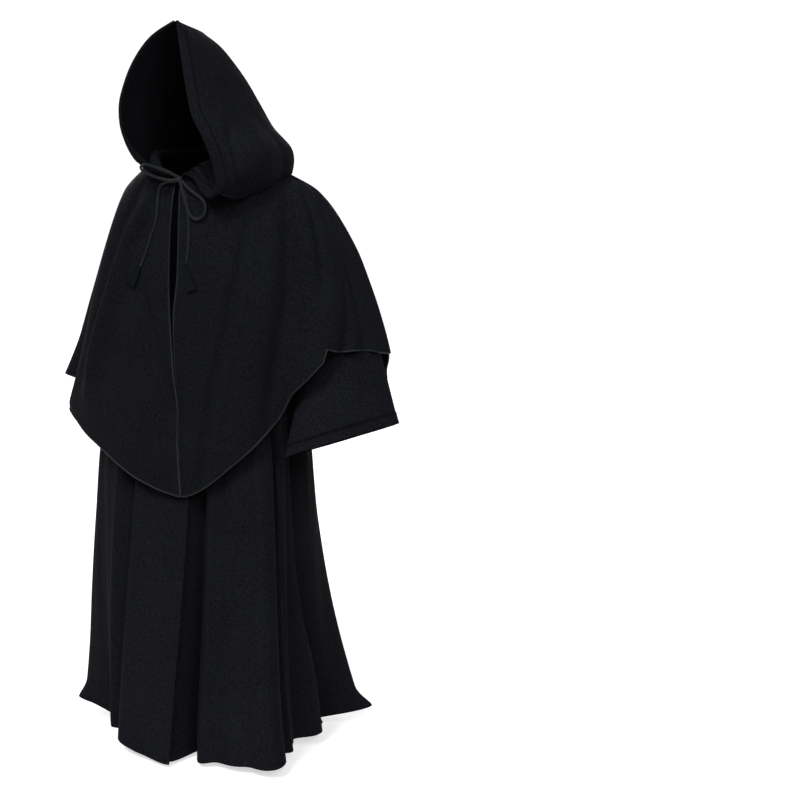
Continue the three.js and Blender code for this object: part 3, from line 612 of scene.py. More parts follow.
def drape(rings, folds, guides, hem_angle, level, wave=0.0, creases=()):
    """Points of draped cloth on the lines that reach the hem at the angles, at shares of the way down."""
    hem_angle, level = matched(hem_angle, level)
    at = {name: along([getattr(ring, name) for ring in rings], level) for name in Ring._fields}
    angle = mix(neck_angle(guides, hem_angle), hem_angle, level)
    turn = np.radians(angle)
    across = bulged(np.sin(turn), 2 / SQUARENESS)
    ahead = bulged(np.cos(turn), 2 / SQUARENESS)
    off = np.abs(turn_between(angle, 0))
    quarter = np.where(ahead > 0, off, 180 - off) / 90
    front_rise = np.where(across > 0, along(RISE_LEFT, quarter), along(RISE_RIGHT, quarter))
    even = np.sin(pi / 2 * quarter) ** 1.4
    side_share = np.where(ahead > 0, mix(even, front_rise, level), along(RISE_BACK, quarter))
    end_z = np.where(ahead > 0, at["front_z"], at["back_z"])
    side_z = np.where(across > 0, at["left_z"], at["right_z"])
    wide = np.where(across > 0, at["left"], at["right"])
    deep = np.where(ahead > 0, at["front"] + at["side_y"], at["back"] - at["side_y"])
    out = fold_depth(folds, hem_angle, level) + crease_depth(creases, hem_angle, level)
    if wave:
        round_hem = np.radians(hem_angle)
        flat = [ROUND_BODY * np.sin(round_hem), ROUND_BODY * np.cos(round_hem), LENGTH * level]
        flat = np.stack(flat, -1)
        waves = ripple(flat, WIDE_WAVES) + FINE_SHARE * ripple(flat + 500, FINE_WAVES)
        out = out + wave * waves * smooth(0.12, 0.4, level)
    x = wide * across + out * np.sin(turn)
    y = at["side_y"] - deep * ahead - out * np.cos(turn)
    return np.stack([x, y, mix(end_z, side_z, side_share)], -1)


def cape_point(hem_angle, level):
    return drape(CAPE_RINGS, CAPE_FOLDS, CAPE_FOLDS, hem_angle, level, CAPE_WAVE, CAPE_CREASES)


def robe_point(hem_angle, level):
    return drape(ROBE_RINGS, ROBE_FOLDS, ROBE_FOLDS, hem_angle, level, ROBE_WAVE, ROBE_CREASES)


def left_front_point(hem_angle, level):
    folds = [*ROBE_FOLDS, CENTRE_PLEAT]
    points = drape(ROBE_RINGS, folds, ROBE_FOLDS, hem_angle, level, ROBE_WAVE, ROBE_CREASES)
    drop = UNDERLAP_DROP * smooth(*UNDERLAP_ANGLES, hem_angle)
    turn = np.radians(hem_angle)
    return points + np.stack([-drop * np.sin(turn), drop * np.cos(turn), 0 * turn], -1)


def panel(point, start, end):
    """Surface of a panel, drawn in from the seams at its ends by half their gap."""

    def inset(seam, level):
        step = point(seam, level) - point(seam + 1, level)
        return 0.5 * SEAM_GAP / np.linalg.norm(step, axis=-1)

    def surface(angle, level):
        share = (angle - start) / (end - start)
        return point(angle + mix(inset(start, level), -inset(end, level), share), level)

    return surface


def front_angle(side, level):
    """Angle of the cape's front edge, which keeps its opening as wide as stated."""
    half = OPENING_LEAST + OPENING_MORE * np.sin(pi * np.minimum(level / OPENING_ENDS, 1))
    reach = along([getattr(ring, side) for ring in CAPE_RINGS], level)
    return np.degrees(np.arcsin((half / reach) ** (SQUARENESS / 2)))


def cape_front(side, sign):
    """Surface of a front panel of the cape, whose lines move round to leave the opening at the centre."""
    whole = panel(cape_point, min(0, sign * CAPE_SEAM), max(0, sign * CAPE_SEAM))

    def surface(angle, level):
        spread = mix(neck_angle(CAPE_FOLDS, sign) * sign, 1, level)
        near_edge = smooth(LAP_WIDTH, 0, np.abs(angle))
        lap = smooth(*LAP_LEVELS, level) * (sign > 0)
        edge = sign * front_angle(side, level) / spread * (1 - LAP_TURN * lap)
        cut = np.interp(angle, STEP_ANGLES, STEP_CUTS)
        points = whole(angle + edge * (1 - np.abs(angle) / CAPE_SEAM), level * (1 - cut))
        points[..., 1] += LAP_DEPTH * lap * near_edge
        return points

    return surface


def ways_out(points, facing=1, closed=False):
    """Way out of the cloth at each point of a grid whose rows run down."""
    if closed:
        wrapped = np.concatenate([points[:, -2:-1], points, points[:, 1:2]], 1)
        across = (wrapped[:, 2:] - wrapped[:, :-2]) / 2
    else:
        across = np.gradient(points, axis=1)
    return unit(facing * np.cross(across, -np.gradient(points, axis=0)))


def grid_of(surface, columns, rows):
    us, vs = np.meshgrid(columns, rows)
    return surface(us, vs)


def shoulder_tree():
    """Upper part of the cape, which the hood and the cord rest on, ready for a search."""
    points = grid_of(cape_point, np.linspace(-180, 180, 361), np.linspace(0, 0.62, 110))
    out = ways_out(points, closed=True).reshape(-1, 3)
    points = points.reshape(-1, 3)
    tree = KDTree(len(points))
    for i, point in enumerate(points):
        tree.insert(point, i)
    tree.balance()
    return tree, points, out


shoulders = shoulder_tree()


def over_cape(points):
    """How high points lie over the cape, and the way out of it there."""
    tree, spots, out = shoulders
    nearest = [tree.find(point)[1] for point in points.reshape(-1, 3)]
    spots, out = (each[nearest].reshape(points.shape) for each in (spots, out))
    return np.sum((points - spots) * out, -1), out


def rest_on_cape(points, clear):
    """Points, moved off the cape where they lie closer to it than clear."""
    above, out = over_cape(points)
    return points + out * np.maximum(clear - above, 0)[..., None]


def hood_point(arcs, side, u, v):
    """Point of half the hood: u from the face opening to the back seam, v from the neck to the top."""
    u, v = matched(u, v)
    clear = mix(WOOL + 2 * SEAM_GAP, HOOD_REST, np.minimum(v / HOOD_REST_FULL, 1))
    seam = rest_on_cape(drape(CAPE_RINGS, [], [], side * 180 * u, 0), clear)
    lines = [[seam[..., k]] for k in range(3)]
    a, b, c, d = (1 - u) ** 3, 3 * u * (1 - u) ** 2, 3 * u * u * (1 - u), u ** 3
    for arc, (back_y, back_z) in zip(arcs, HOOD_BACK):
        lines[0].append(side * (a * arc.x + (b + c) * arc.reach))
        lines[1].append((a + b) * arc.y + (c + d) * back_y)
        lines[2].append(a * arc.z + (b + c) * arc.side_z + d * back_z)
    point = np.stack([along(np.array(line), v) for line in lines], -1)
    spread = np.sin(pi * np.minimum(v / NECK_WAVES_END, 1))
    point[..., 2] += NECK_WAVE_HEIGHT * np.sin(pi * NECK_WAVES * u) ** 2 * spread
    near = v < HOOD_OVER_CAPE
    point[near] = rest_on_cape(point[near], clear[near])
    gathered = v < GATHER_ENDS
    pleat = np.abs(np.sin(pi * GATHERS * (u[gathered] + GATHER_SLANT * v[gathered]))) ** 1.4
    low = v[gathered] / GATHER_ENDS
    high = GATHER_DEPTH * pleat * np.sin(pi * low ** 0.6) * smooth(0, 0.03, u[gathered])
    point[gathered] += over_cape(point[gathered])[1] * high[:, None]
    return point


class HoodHalf:
    """One half of the hood, measured along its cloth."""

    def __init__(self, arcs, side, rows):
        self.side = side
        self.rows = rows
        self.dense = grid_of(lambda u, v: hood_point(arcs, side, u, v), np.linspace(0, 1, 501), rows)
        self.lengths = lengths_along(self.dense, 1)

    def at(self, distances):
        """Points at distances from the face opening, one row of distances for each row of the hood."""
        return np.stack([points_at(*row) for row in zip(distances, self.lengths, self.dense)])

    def cloth(self, columns):
        """Points of the whole half, with its folds."""
        far = np.linspace(0, 1, columns)[None] * self.lengths[:, -1:]
        points = self.at(far)
        high = 0
        for fold in HOOD_FOLDS[self.side]:
            share = np.clip((fold.top - self.rows) / (fold.top - fold.foot), 0, 1)[:, None]
            off = (far - along(fold.ways, share)) / fold.width
            fade = smooth(0, 0.35, share) * smooth(1, 0.65, share)
            high = high + fold.depth * np.exp(-off * off) * fade
        high = high + HOOD_WAVE * ripple(points + 900, HOOD_WAVES)
        # The folds fade out towards the face opening, the back seam and the neck
        high = high * smooth(14, 40, far) * smooth(0, 30, self.lengths[:, -1:] - far)
        high = high * smooth(0.04, 0.16, self.rows[:, None])
        points = points + ways_out(points, self.side) * high[..., None]
        share = far / self.lengths[:, -1:]
        low = smooth(0.05, 0.16, self.rows) * smooth(0.42, 0.22, self.rows)
        low = low[:, None] * smooth(24, 70, far) * smooth(0.95, 0.6, share)
        points[..., 2] -= HOOD_SAG * low
        near = (self.rows > 0.02) & (self.rows < HOOD_OVER_CAPE)
        above, out = over_cape(points[near])
        drawn_in = HOOD_DRAW * low[near] * np.clip(above - HOOD_FLAT, 0, HOOD_DRAW_MOST)
        points[near] = rest_on_cape(points[near] - out * drawn_in[..., None], HOOD_LEAST)
        return points

    def strip(self, width, columns):
        return self.at(np.repeat(np.linspace(0, width, columns)[None], len(self.rows), 0))


def sleeve_point(rings, side, tilt, angle, level):
    """Point of a sleeve: angle round it, and the share of the way from shoulder to cuff."""
    angle, level = matched(angle, level)

    def at(name, share=level):
        return along([getattr(ring, name) for ring in rings], share)

    def centre(share):
        return np.stack([at("x", share), at("y", share), at("z", share)], -1)

    down = unit(centre(np.minimum(level + 0.02, 1)) - centre(np.maximum(level - 0.02, 0)))
    turn = np.radians(at("turn"))
    wide = np.stack([np.cos(turn), np.sin(turn), 0 * turn], -1)
    wide = unit(wide - down * np.sum(wide * down, -1, keepdims=True))
    deep = np.cross(down, wide)
    cosine, sine = np.cos(np.radians(angle)), np.sin(np.radians(angle))
    flat = np.stack([ROUND_SLEEVE * cosine, ROUND_SLEEVE * sine, LENGTH * level], -1) + side * 70
    wave = 1 + SLEEVE_WAVE * ripple(flat, SLEEVE_WAVES) * smooth(0.2, 0.5, level)
    point = centre(level) + wide * (at("wide") * cosine * wave)[..., None]
    point = point + deep * (at("deep") * sine * wave)[..., None]
    point[..., 2] += tilt * cosine * level * level
    point[..., 0] *= side
    return point


def cloth(name, points, finish, thick=None, facing=1, closed=False, lift=0.0):
    """Panel of cloth: a flat grid carried to its points, in millimetres, whose rows run down.

    Its UV map is the cloth's own measure in metres. Its wall is as thick as the wool, or as stated.
    """
    if lift:
        points = points + lift * ways_out(points, facing, closed)
    points = points * MM
    rows, columns = points.shape[:2]
    across = lengths_along(points, 1)
    rise = lengths_along(points[::-1])[::-1]
    sheet = bmesh.new()
    bmesh.ops.create_grid(sheet, x_segments=columns - 1, y_segments=rows - 1, size=0.5)
    flat = np.array([vert.co[:2] for vert in sheet.verts]) + 0.5
    column = np.rint(flat[:, 0] * (columns - 1)).astype(int)
    row = np.rint(flat[:, 1] * (rows - 1)).astype(int)
    measure = sheet.loops.layers.uv.new("cloth")
    for vert, i, j in zip(sheet.verts, column, row):
        vert.co = points[j, i]
    for face in sheet.faces:
        for loop in face.loops:
            i, j = column[loop.vert.index], row[loop.vert.index]
            loop[measure].uv = across[j, i], rise[j, i]
    if closed:
        bmesh.ops.remove_doubles(sheet, verts=sheet.verts, dist=1e-6)
    if facing > 0:
        bmesh.ops.reverse_faces(sheet, faces=sheet.faces)
    piece = new_piece(name, sheet, finish)
    if thick is None:
        thick = bpy.context.scene.cloak_sizes.wool / MM
    if thick:
        wall = piece.modifiers.new("wall", "SOLIDIFY")
        wall.thickness = thick * MM
        wall.offset = 0
    return piece


def new_piece(name, sheet, finish):
    mesh = bpy.data.meshes.new(name)
    sheet.to_mesh(mesh)
    sheet.free()
    piece = bpy.data.objects.new(name, mesh)
    bpy.context.scene.collection.objects.link(piece)
    if finish:
        mesh.materials.append(finish)
    mesh.shade_smooth()
    return piece


def settled(piece, cutters=()):
    """Apply the piece's modifiers, cut it with the cutters, and keep its edges crisp."""
    for cutter in cutters:
        cut = piece.modifiers.new("cut", "BOOLEAN")
        cut.operation = "DIFFERENCE"
        cut.solver = "EXACT"
        cut.object = cutter
    graph = bpy.context.evaluated_depsgraph_get()
    mesh = bpy.data.meshes.new_from_object(piece.evaluated_get(graph))
    piece.modifiers.clear()
    piece.data = mesh
    mesh.name = piece.name
    mesh.shade_smooth()
    mesh.set_sharp_from_angle(angle=radians(CRISP_ANGLE))
    return piece


def filled(name, points, finish=None, lift=0.0):
    """Solid inside a tube of cloth, with its ends closed."""
    tube = cloth(name, points, finish, thick=0, closed=True, lift=lift)
    solid = bmesh.new()
    solid.from_mesh(tube.data)
    bmesh.ops.holes_fill(solid, edges=[edge for edge in solid.edges if edge.is_boundary], sides=0)
    bmesh.ops.recalc_face_normals(solid, faces=solid.faces)
    solid.to_mesh(tube.data)
    solid.free()
    return tube


def smooth_path(points, spacing):
    """Points close together on a smooth curve through the given ones."""
    points = np.array(points, float)
    dense = np.stack([along(points[:, k], np.linspace(0, 1, 40 * len(points))) for k in range(3)], -1)
    lengths = lengths_along(dense)
    marks = np.linspace(0, lengths[-1], ceil(lengths[-1] / spacing) + 1)
    return points_at(marks, lengths, dense)


def strand(name, path, out, wide, thick, finish):
    """Tape or cord along a path: half as wide and half as thick as stated, with its ends closed."""
    tangent = unit(np.gradient(path, axis=0))
    across = unit(np.cross(tangent, out))[:, None]
    up = np.cross(across, tangent[:, None])
    turn = np.linspace(0, 2 * pi, STRAND_SIDES + 1)
    points = path[:, None] + across * (wide * bulged(np.cos(turn), STRAND_ROUNDING))[:, None]
    points = points + up * (thick * bulged(np.sin(turn), STRAND_ROUNDING))[:, None]
    return settled(filled(name, points, finish))


def rides(piece, *nodes, slot="wool"):
    """Put a piece on the cloak's one body, in place of the nodes that it stands for."""
    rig.ride(piece, "root")
    if nodes:
        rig.replaces(piece, *nodes)
    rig.slot(piece, slot)
    return piece


def cut_as(node, piece, held, rests_on=(), with_pieces=()):
    """Say what size a panel's cloth was cut to, and what goes with it."""
    width, length, area = CUTS[node]
    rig.sheet(
        piece, flat=(width, length), held=held, rests_on=list(rests_on), area=area,
        with_pieces=list(with_pieces),
    )


# Numbers of a Mix node's colour sockets
COLOUR_A = 6
COLOUR_B = 7
COLOUR_RESULT = 2


class Shade:
    """Output of a node. Arithmetic on it adds Math nodes, and node() adds any other."""

    def __init__(self, tree, socket=None):
        self.tree = tree
        self.socket = socket

    def node(self, kind, inputs=None, output=0, **settings):
        """Add a node: its settings first, then the values and links of its sockets."""
        made = self.tree.nodes.new(kind)
        for name, value in settings.items():
            setattr(made, name, value)
        for key, value in (inputs or {}).items():
            if isinstance(value, Shade):
                self.tree.links.new(value.socket, made.inputs[key])
            else:
                made.inputs[key].default_value = value
        return Shade(self.tree, made.outputs[output])

    def place(self):
        return self.node("ShaderNodeTexCoord", output="Object")

    def on_cloth(self):
        """Place on the cloth in metres: across it, and up from its lower edge."""
        return self.node("ShaderNodeUVMap", uv_map="cloth")

    def noise(self, place, scale, detail, roughness=0.5):
        inputs = {"Vector": place, "Scale": scale, "Detail": detail, "Roughness": roughness}
        return self.node("ShaderNodeTexNoise", inputs)

    def stretched(self, across, up):
        """Place on the cloth in threads: so many to a metre across it and up it."""
        return self.node("ShaderNodeMapping", {"Vector": self.on_cloth(), "Scale": (across, up, 1.0)})

    def relief(self, height, strength, distance, **normal):
        inputs = {"Height": height, "Strength": strength, "Distance": distance, **normal}
        return self.node("ShaderNodeBump", inputs)

    def blended(self, first, second, share, blend="MIX"):
        """Colour on the way from first to second, or first darkened by second with MULTIPLY."""
        inputs = {"Factor": share, COLOUR_A: first, COLOUR_B: second}
        return self.node("ShaderNodeMix", inputs, COLOUR_RESULT, data_type="RGBA", blend_type=blend)

    def maths(self, operation, *values):
        return self.node("ShaderNodeMath", dict(enumerate(values)), operation=operation)

    def __add__(self, other):
        return self.maths("ADD", self, other)

    def __radd__(self, other):
        return self.maths("ADD", other, self)

    def __sub__(self, other):
        return self.maths("SUBTRACT", self, other)

    def __rsub__(self, other):
        return self.maths("SUBTRACT", other, self)

    def __mul__(self, other):
        return self.maths("MULTIPLY", self, other)

    def __rmul__(self, other):
        return self.maths("MULTIPLY", other, self)

    def __abs__(self):
        return self.maths("ABSOLUTE", self)

    def larger(self, other):
        return self.maths("MAXIMUM", self, other)

    def clipped(self, low, high):
        """Share of the way from low to high, kept from 0 to 1."""
        inputs = {"Value": self, "From Min": low, "From Max": high}
        return self.node("ShaderNodeMapRange", inputs, interpolation_type="SMOOTHSTEP")


# Topstitching: how far from its line the groove begins and ends, and the length of a stitch, in metres
STITCH_GROOVE = (0.0004, 0.0019)
STITCH_LENGTH = 0.0036
# Painted shade: the near-black colour laid along the topstitching grooves
GROOVE_SHADE_COLOUR = (0.001, 0.001, 0.0012, 1)


def finish_named(name, colour, roughness, gloss, surface, glow=0.0):
    """Material whose colour, roughness and relief come from surface(start, colour)."""
    finish = bpy.data.materials.new(name)
    finish.use_nodes = True
    finish.diffuse_color = (*colour, 1)
    tree = finish.node_tree
    shader = next(node for node in tree.nodes if node.type == "BSDF_PRINCIPLED")
    shader.inputs["Specular IOR Level"].default_value = gloss
    shader.inputs["Roughness"].default_value = roughness
    shader.inputs["Emission Color"].default_value = (1, 1, 1, 1)
    shader.inputs["Emission Strength"].default_value = glow
    made = surface(Shade(tree), (*colour, 1))
    for socket, value in made.items():
        tree.links.new(value.socket, shader.inputs[socket])
    return finish


def tinted(start, colour, shade):
    """Colour made darker or lighter by a shade around 1."""
    grey = start.node("ShaderNodeCombineColor", {"Red": shade, "Green": shade, "Blue": shade})
    return start.blended(colour, grey, 1.0, "MULTIPLY")


def napped_wool(start, colour):
    """Close napped coat wool: a felted face of short fibres, whose tone drifts where the nap lies."""
    place = start.place()
    nap = start.noise(place, 420.0, 4.0, 0.7)
    fleck = start.noise(place, 240.0, 3.0, 0.7)
    drift = start.noise(place, 7.0, 3.0)
    fibre = start.noise(start.stretched(900.0, 140.0), 1.0, 2.0, 0.6)
    shade = (nap * 1.6 + fleck * 3.4 + fibre * 0.8 + drift * 0.6 - 2.2).larger(0.2)
    height = nap * 0.5 + fleck * 0.35 + fibre * 0.3
    return {
        "Base Color": tinted(start, colour, shade),
        "Roughness": 0.88 + nap * 0.12,
        "Normal": start.relief(height, 0.5, 0.0012),
    }


def stitched_wool(*lines):
    """Napped wool with rows of topstitching at distances in metres above its lower edge, whose grooves are darkened
    with painted shade.
    """

    def surface(start, colour):
        made = napped_wool(start, colour)
        sideways = start.node("ShaderNodeSeparateXYZ", {0: start.on_cloth()}, output="X")
        upwards = start.node("ShaderNodeSeparateXYZ", {0: start.on_cloth()}, output="Y")
        grooves = [1 - abs(upwards - line).clipped(*STITCH_GROOVE) for line in lines]
        groove = grooves[0]
        for other in grooves[1:]:
            groove = groove.larger(other)
        phase = sideways * (2 * pi / STITCH_LENGTH)
        thread = groove * start.maths("SINE", phase).clipped(-0.8, -0.2)
        return {
            # Painted shade darkens the grooves of the topstitching
            "Base Color": start.blended(made["Base Color"], GROOVE_SHADE_COLOUR, groove * 0.8),
            "Roughness": made["Roughness"],
            "Normal": start.relief(thread * 0.6 - groove, 0.9, 0.0018, Normal=made["Normal"]),
        }

    return surface


def satin_weave(start, colour):
    """Close satin tape: fine threads along it, with a low gloss."""
    thread = start.noise(start.stretched(2600.0, 500.0), 1.0, 2.0)
    soft = start.noise(start.place(), 60.0, 2.0)
    return {
        "Base Color": tinted(start, colour, 0.5 + thread * 0.6 + soft * 0.4),
        "Roughness": 0.36 + thread * 0.2,
        "Normal": start.relief(thread * 0.6 + soft * 0.8, 0.4, 0.0008),
    }


def matte_paper(start, colour):
    grain = start.noise(start.place(), 40.0, 2.0)
    return {"Base Color": tinted(start, colour, 0.97 + grain * 0.06)}


def finish(name):
    """Finish of that name, made once from the panel's colours."""
    if name in bpy.data.materials:
        return bpy.data.materials[name]
    colours = bpy.context.scene.cloak_colours
    # Colour, roughness, gloss, surface, and light that it gives off
    makers = {
        "napped_wool": (colours.wool, 0.95, 0.08, napped_wool),
        "band_wool": (colours.wool, 0.95, 0.08, stitched_wool(0.0205)),
        "cuff_wool": (colours.wool, 0.95, 0.08, stitched_wool(0.0215, 0.0255)),
        "satin_tape": (colours.satin, 0.42, 0.2, satin_weave),
        # Painted shade: the tabs take the cord's satin darkened to four tenths
        "satin_tab": ([part * 0.4 for part in colours.satin], 0.5, 0.1, satin_weave),
        "pale_backdrop": (colours.backdrop, 0.95, 0.2, matte_paper, 0.62),
    }
    colour, *rest = makers[name]
    return finish_named(name, tuple(colour), *rest)


def size(name, default, least, most):
    return FloatProperty(name=name, default=default, min=least, max=most, unit="LENGTH")


def colour(name, default):
    return FloatVectorProperty(name=name, default=default, subtype="COLOR", size=3, min=0, max=1)


class CloakSizes(bpy.types.PropertyGroup):
    """Sizes that a user would change."""

    wool: size("Wool thickness", WOOL * MM, 0.0005, 0.006)
    hood_band: size("Width of the hood's band", 0.024, 0.01, 0.05)
    cuff_band: size("Width of the cuffs' bands", 0.028, 0.01, 0.06)
    tape: size("Width of the satin tape", 0.0068, 0.003, 0.012)
    binding: size("Width of the cape's binding", 0.0044, 0.003, 0.01)
    floor: size("Floor height", -1.338, -3, -1.334)


class CloakColours(bpy.types.PropertyGroup):
    """Colours that a user would change."""

    wool: colour("Wool", (0.0088, 0.0095, 0.0127))
    satin: colour("Satin binding and cord", (0.0078, 0.0098, 0.011))
    backdrop: colour("Floor", (0.9, 0.9, 0.9))


class CLOAK_OT_stage(bpy.types.Operator):
    """Camera, floor and soft studio light"""

    bl_idname = "cloak.stage"
    bl_label = "Stage"

    def execute(self, context):
        scene = context.scene
        data = bpy.data.cameras.new("camera")
        data.sensor_width = SENSOR
        data.lens = FOCAL_LENGTH / PICTURE_WIDTH * SENSOR
        data.clip_end = 60
        camera = bpy.data.objects.new("camera", data)
        scene.collection.objects.link(camera)
        turn = radians(CAMERA_ROUND)
        camera.location = (CAMERA_AWAY * sin(turn), -CAMERA_AWAY * cos(turn), CAMERA_HEIGHT)
        camera.rotation_euler = (radians(90 - CAMERA_DOWN), 0, turn - atan(BESIDE_AXIS / FOCAL_LENGTH))
        scene.camera = camera

        ground = bmesh.new()
        bmesh.ops.create_grid(ground, x_segments=2, y_segments=2, size=FLOOR_HALF)
        bmesh.ops.translate(ground, verts=ground.verts, vec=(0, 0, scene.cloak_sizes.floor))
        floor = new_piece("floor", ground, finish("pale_backdrop"))
        floor.visible_diffuse = False
        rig.stage(floor)

        world = bpy.data.worlds.new("studio")
        scene.world = world
        world.use_nodes = True
        sky = Shade(world.node_tree)
        seen = sky.node("ShaderNodeLightPath", output="Is Camera Ray")
        background = world.node_tree.nodes["Background"]
        background.inputs["Color"].default_value = (1, 1, 1, 1)
        world.node_tree.links.new((AMBIENT + seen).socket, background.inputs["Strength"])
        for name, place, power, spread in LAMPS:
            lamp = bpy.data.lights.new(name, "SUN")
            lamp.energy = power
            lamp.angle = radians(spread)
            holder = bpy.data.objects.new(name, lamp)
            holder.location = place
            holder.rotation_euler = (-Vector(place)).to_track_quat("-Z", "Y").to_euler()
            scene.collection.objects.link(holder)
        scene.view_settings.view_transform = "Standard"
        return {"FINISHED"}


class CLOAK_OT_cord(bpy.types.Operator):
    """Satin cord tied in a bow at the neck, with a flat tab at each end"""

    bl_idname = "cloak.cord"
    bl_label = "Cord"

    def execute(self, context):
        satin = finish("satin_tape")
        half = context.scene.cloak_sizes.tape / MM / 2
        paths = {}
        pieces = {}
        for name, points in ROUTES.items():
            path = rest_on_cape(smooth_path(points, CORD_STEP), CORD_CLEAR - 1)
            out = unit(over_cape(path)[1] + CORD_FACES)
            piece = strand("tape_" + name, path, out, half, TAPE_THICKNESS, satin)
            paths[name] = path
            pieces[name] = rides(piece, name, slot="satin")
        tabs = {}
        for side, tab in TABS.items():
            piece = self.tab("tab_" + side, paths[tab.end][-1], tab)
            tabs[tab.end] = rides(piece, "cord_tab_" + side, slot="satin")
        for name, path in paths.items():
            length = float(lengths_along(path)[-1]) * MM
            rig.cord(
                pieces[name], exit=path[0] * MM, length=length, diameter=2 * half * MM,
                far_end="fitting" if name in tabs else "object", stiffness="limp", lay="hanging",
                path=path * MM, with_pieces=[tabs[name]] if name in tabs else [],
            )
        self.knot(satin)
        return {"FINISHED"}

    def tab(self, name, end, shape):
        lean, turn = radians(shape.lean), radians(shape.turn)
        down = np.array([sin(lean), 0, -cos(lean)])
        across = np.array([cos(lean), sin(turn), sin(lean)])

        def surface(u, v):
            point = end + down * (TAB_GAP + shape.length * v)[..., None]
            return point + across * ((u - 0.5) * mix(shape.top, shape.bottom, v))[..., None]

        points = grid_of(surface, np.linspace(0, 1, 25), np.linspace(0, 1, 37))
        # The tab's satin is darkened with painted shade
        return settled(cloth(name, rest_on_cape(points, CORD_CLEAR), finish("satin_tab")))

    def knot(self, satin):
        ball = bmesh.new()
        bmesh.ops.create_uvsphere(ball, u_segments=40, v_segments=24, radius=1)
        for vert in ball.verts:
            x, y, z = vert.co
            wrap = 1 + KNOT_WRAP * cos(9 * z + 3 * x)
            vert.co = [(c * s * wrap + p) * MM for c, s, p in zip((x, y, z), KNOT_SIZE, KNOT_PLACE)]
        rides(new_piece("tied_knot", ball, satin), "bow_knot", slot="satin")


class CLOAK_OT_robe(bpy.types.Operator):
    """Floor-length robe in three panels, with the sleeves that come out of it"""

    bl_idname = "cloak.robe"
    bl_label = "Robe and sleeves"

    def execute(self, context):
        wool = finish("napped_wool")
        rows = np.linspace(0, 1, 116)
        fine = np.linspace(0, 360, 97)
        levels = np.linspace(0, 1, 72)
        shapes = {"left": (SLEEVE_LEFT, 1, LEFT_CUFF_TILT), "right": (SLEEVE_RIGHT, -1, 0)}
        sleeves = {
            name: grid_of(lambda a, v: sleeve_point(*shape, -shape[1] * a, v), fine, levels)
            for name, shape in shapes.items()
        }
        armholes = [filled("armhole_" + side, points, lift=-WOOL / 2) for side, points in sleeves.items()]
        whole = grid_of(robe_point, np.linspace(-180, 180, 361), np.linspace(0, 0.6, 60))
        body = filled("robe_shape", whole, lift=WOOL / 2 + ROBE_CLEARANCE)
        panels = [
            ("robe_back", robe_point, ROBE_SEAM, 360 - ROBE_SEAM, 241),
            ("robe_front_right", robe_point, -ROBE_SEAM, RIGHT_FRONT_EDGE, 141),
            ("robe_front_left", left_front_point, LEFT_FRONT_EDGE, ROBE_SEAM, 155),
        ]
        for name, point, start, end, count in panels:
            points = grid_of(panel(point, start, end), np.linspace(start, end, count), rows)
            piece = settled(cloth("wool_" + name, points, wool), armholes)
            rides(piece, name)
            cut_as(name, piece, "hung")
        band = context.scene.cloak_sizes.cuff_band / MM
        for side, points in sleeves.items():
            piece = settled(cloth("wool_sleeve_" + side, points, wool, closed=True), [body])
            rides(piece, "sleeve_" + side)
            turned = cloth(
                "turned_cuff_" + side, self.cuff(points, band), finish("cuff_wool"), BAND,
                closed=True, lift=ON_WOOL,
            )
            rides(settled(turned), "cuff_band_" + side)
            cut_as("sleeve_" + side, piece, "hung", ["robe_front_" + side, "robe_back"], [turned])
        for cutter in [*armholes, body]:
            bpy.data.objects.remove(cutter)
        return {"FINISHED"}

    def cuff(self, points, band):
        """Last rows of a sleeve, as deep as the turned band."""
        lengths = lengths_along(points)
        rise = (lengths[-1] - lengths)[::-1]
        marks = np.linspace(band, 0, 9)
        columns = range(points.shape[1])
        return np.stack([points_at(marks, rise[:, i], points[::-1, i]) for i in columns], 1)


class CLOAK_OT_cape(bpy.types.Operator):
    """Pointed shoulder cape in three panels, with a satin binding along its edges"""

    bl_idname = "cloak.cape"
    bl_label = "Cape"

    def execute(self, context):
        wool = finish("napped_wool")
        satin = finish("satin_tape")
        rows = np.linspace(0, 1, 84)
        far_seam = 360 - CAPE_SEAM
        binding = context.scene.cloak_sizes.binding / MM / 2
        panels = [
            ("left", cape_front("left", 1), 0, CAPE_SEAM, 150, 0),
            ("right", cape_front("right", -1), -CAPE_SEAM, 0, 150, -1),
            ("back", panel(cape_point, CAPE_SEAM, far_seam), CAPE_SEAM, far_seam, 221, None),
        ]
        for name, surface, start, end, count, front in panels:
            points = grid_of(surface, np.linspace(start, end, count), rows)
            node = "cape_back" if name == "back" else "cape_front_" + name
            piece = settled(cloth("wool_" + node, points, wool))
            rides(piece, node)
            out = ways_out(points)
            line, way = (self.edge(grid, front) for grid in (points, out))
            edge = strand("satin_binding_" + name, line, way, binding, BINDING_THICKNESS, satin)
            rides(edge, "cape_binding_" + name, slot="satin")
            under = "robe_back" if front is None else "robe_front_" + name
            cut_as(node, piece, "draped", [under], [edge])
        return {"FINISHED"}

    def edge(self, grid, front):
        """Line of a grid along its bound edges: down the front column, if there is one, and the hem."""
        if front is None:
            return grid[-1]
        hem = grid[-1, ::-1] if front == -1 else grid[-1]
        return np.concatenate([grid[1:, front], hem[1:]])


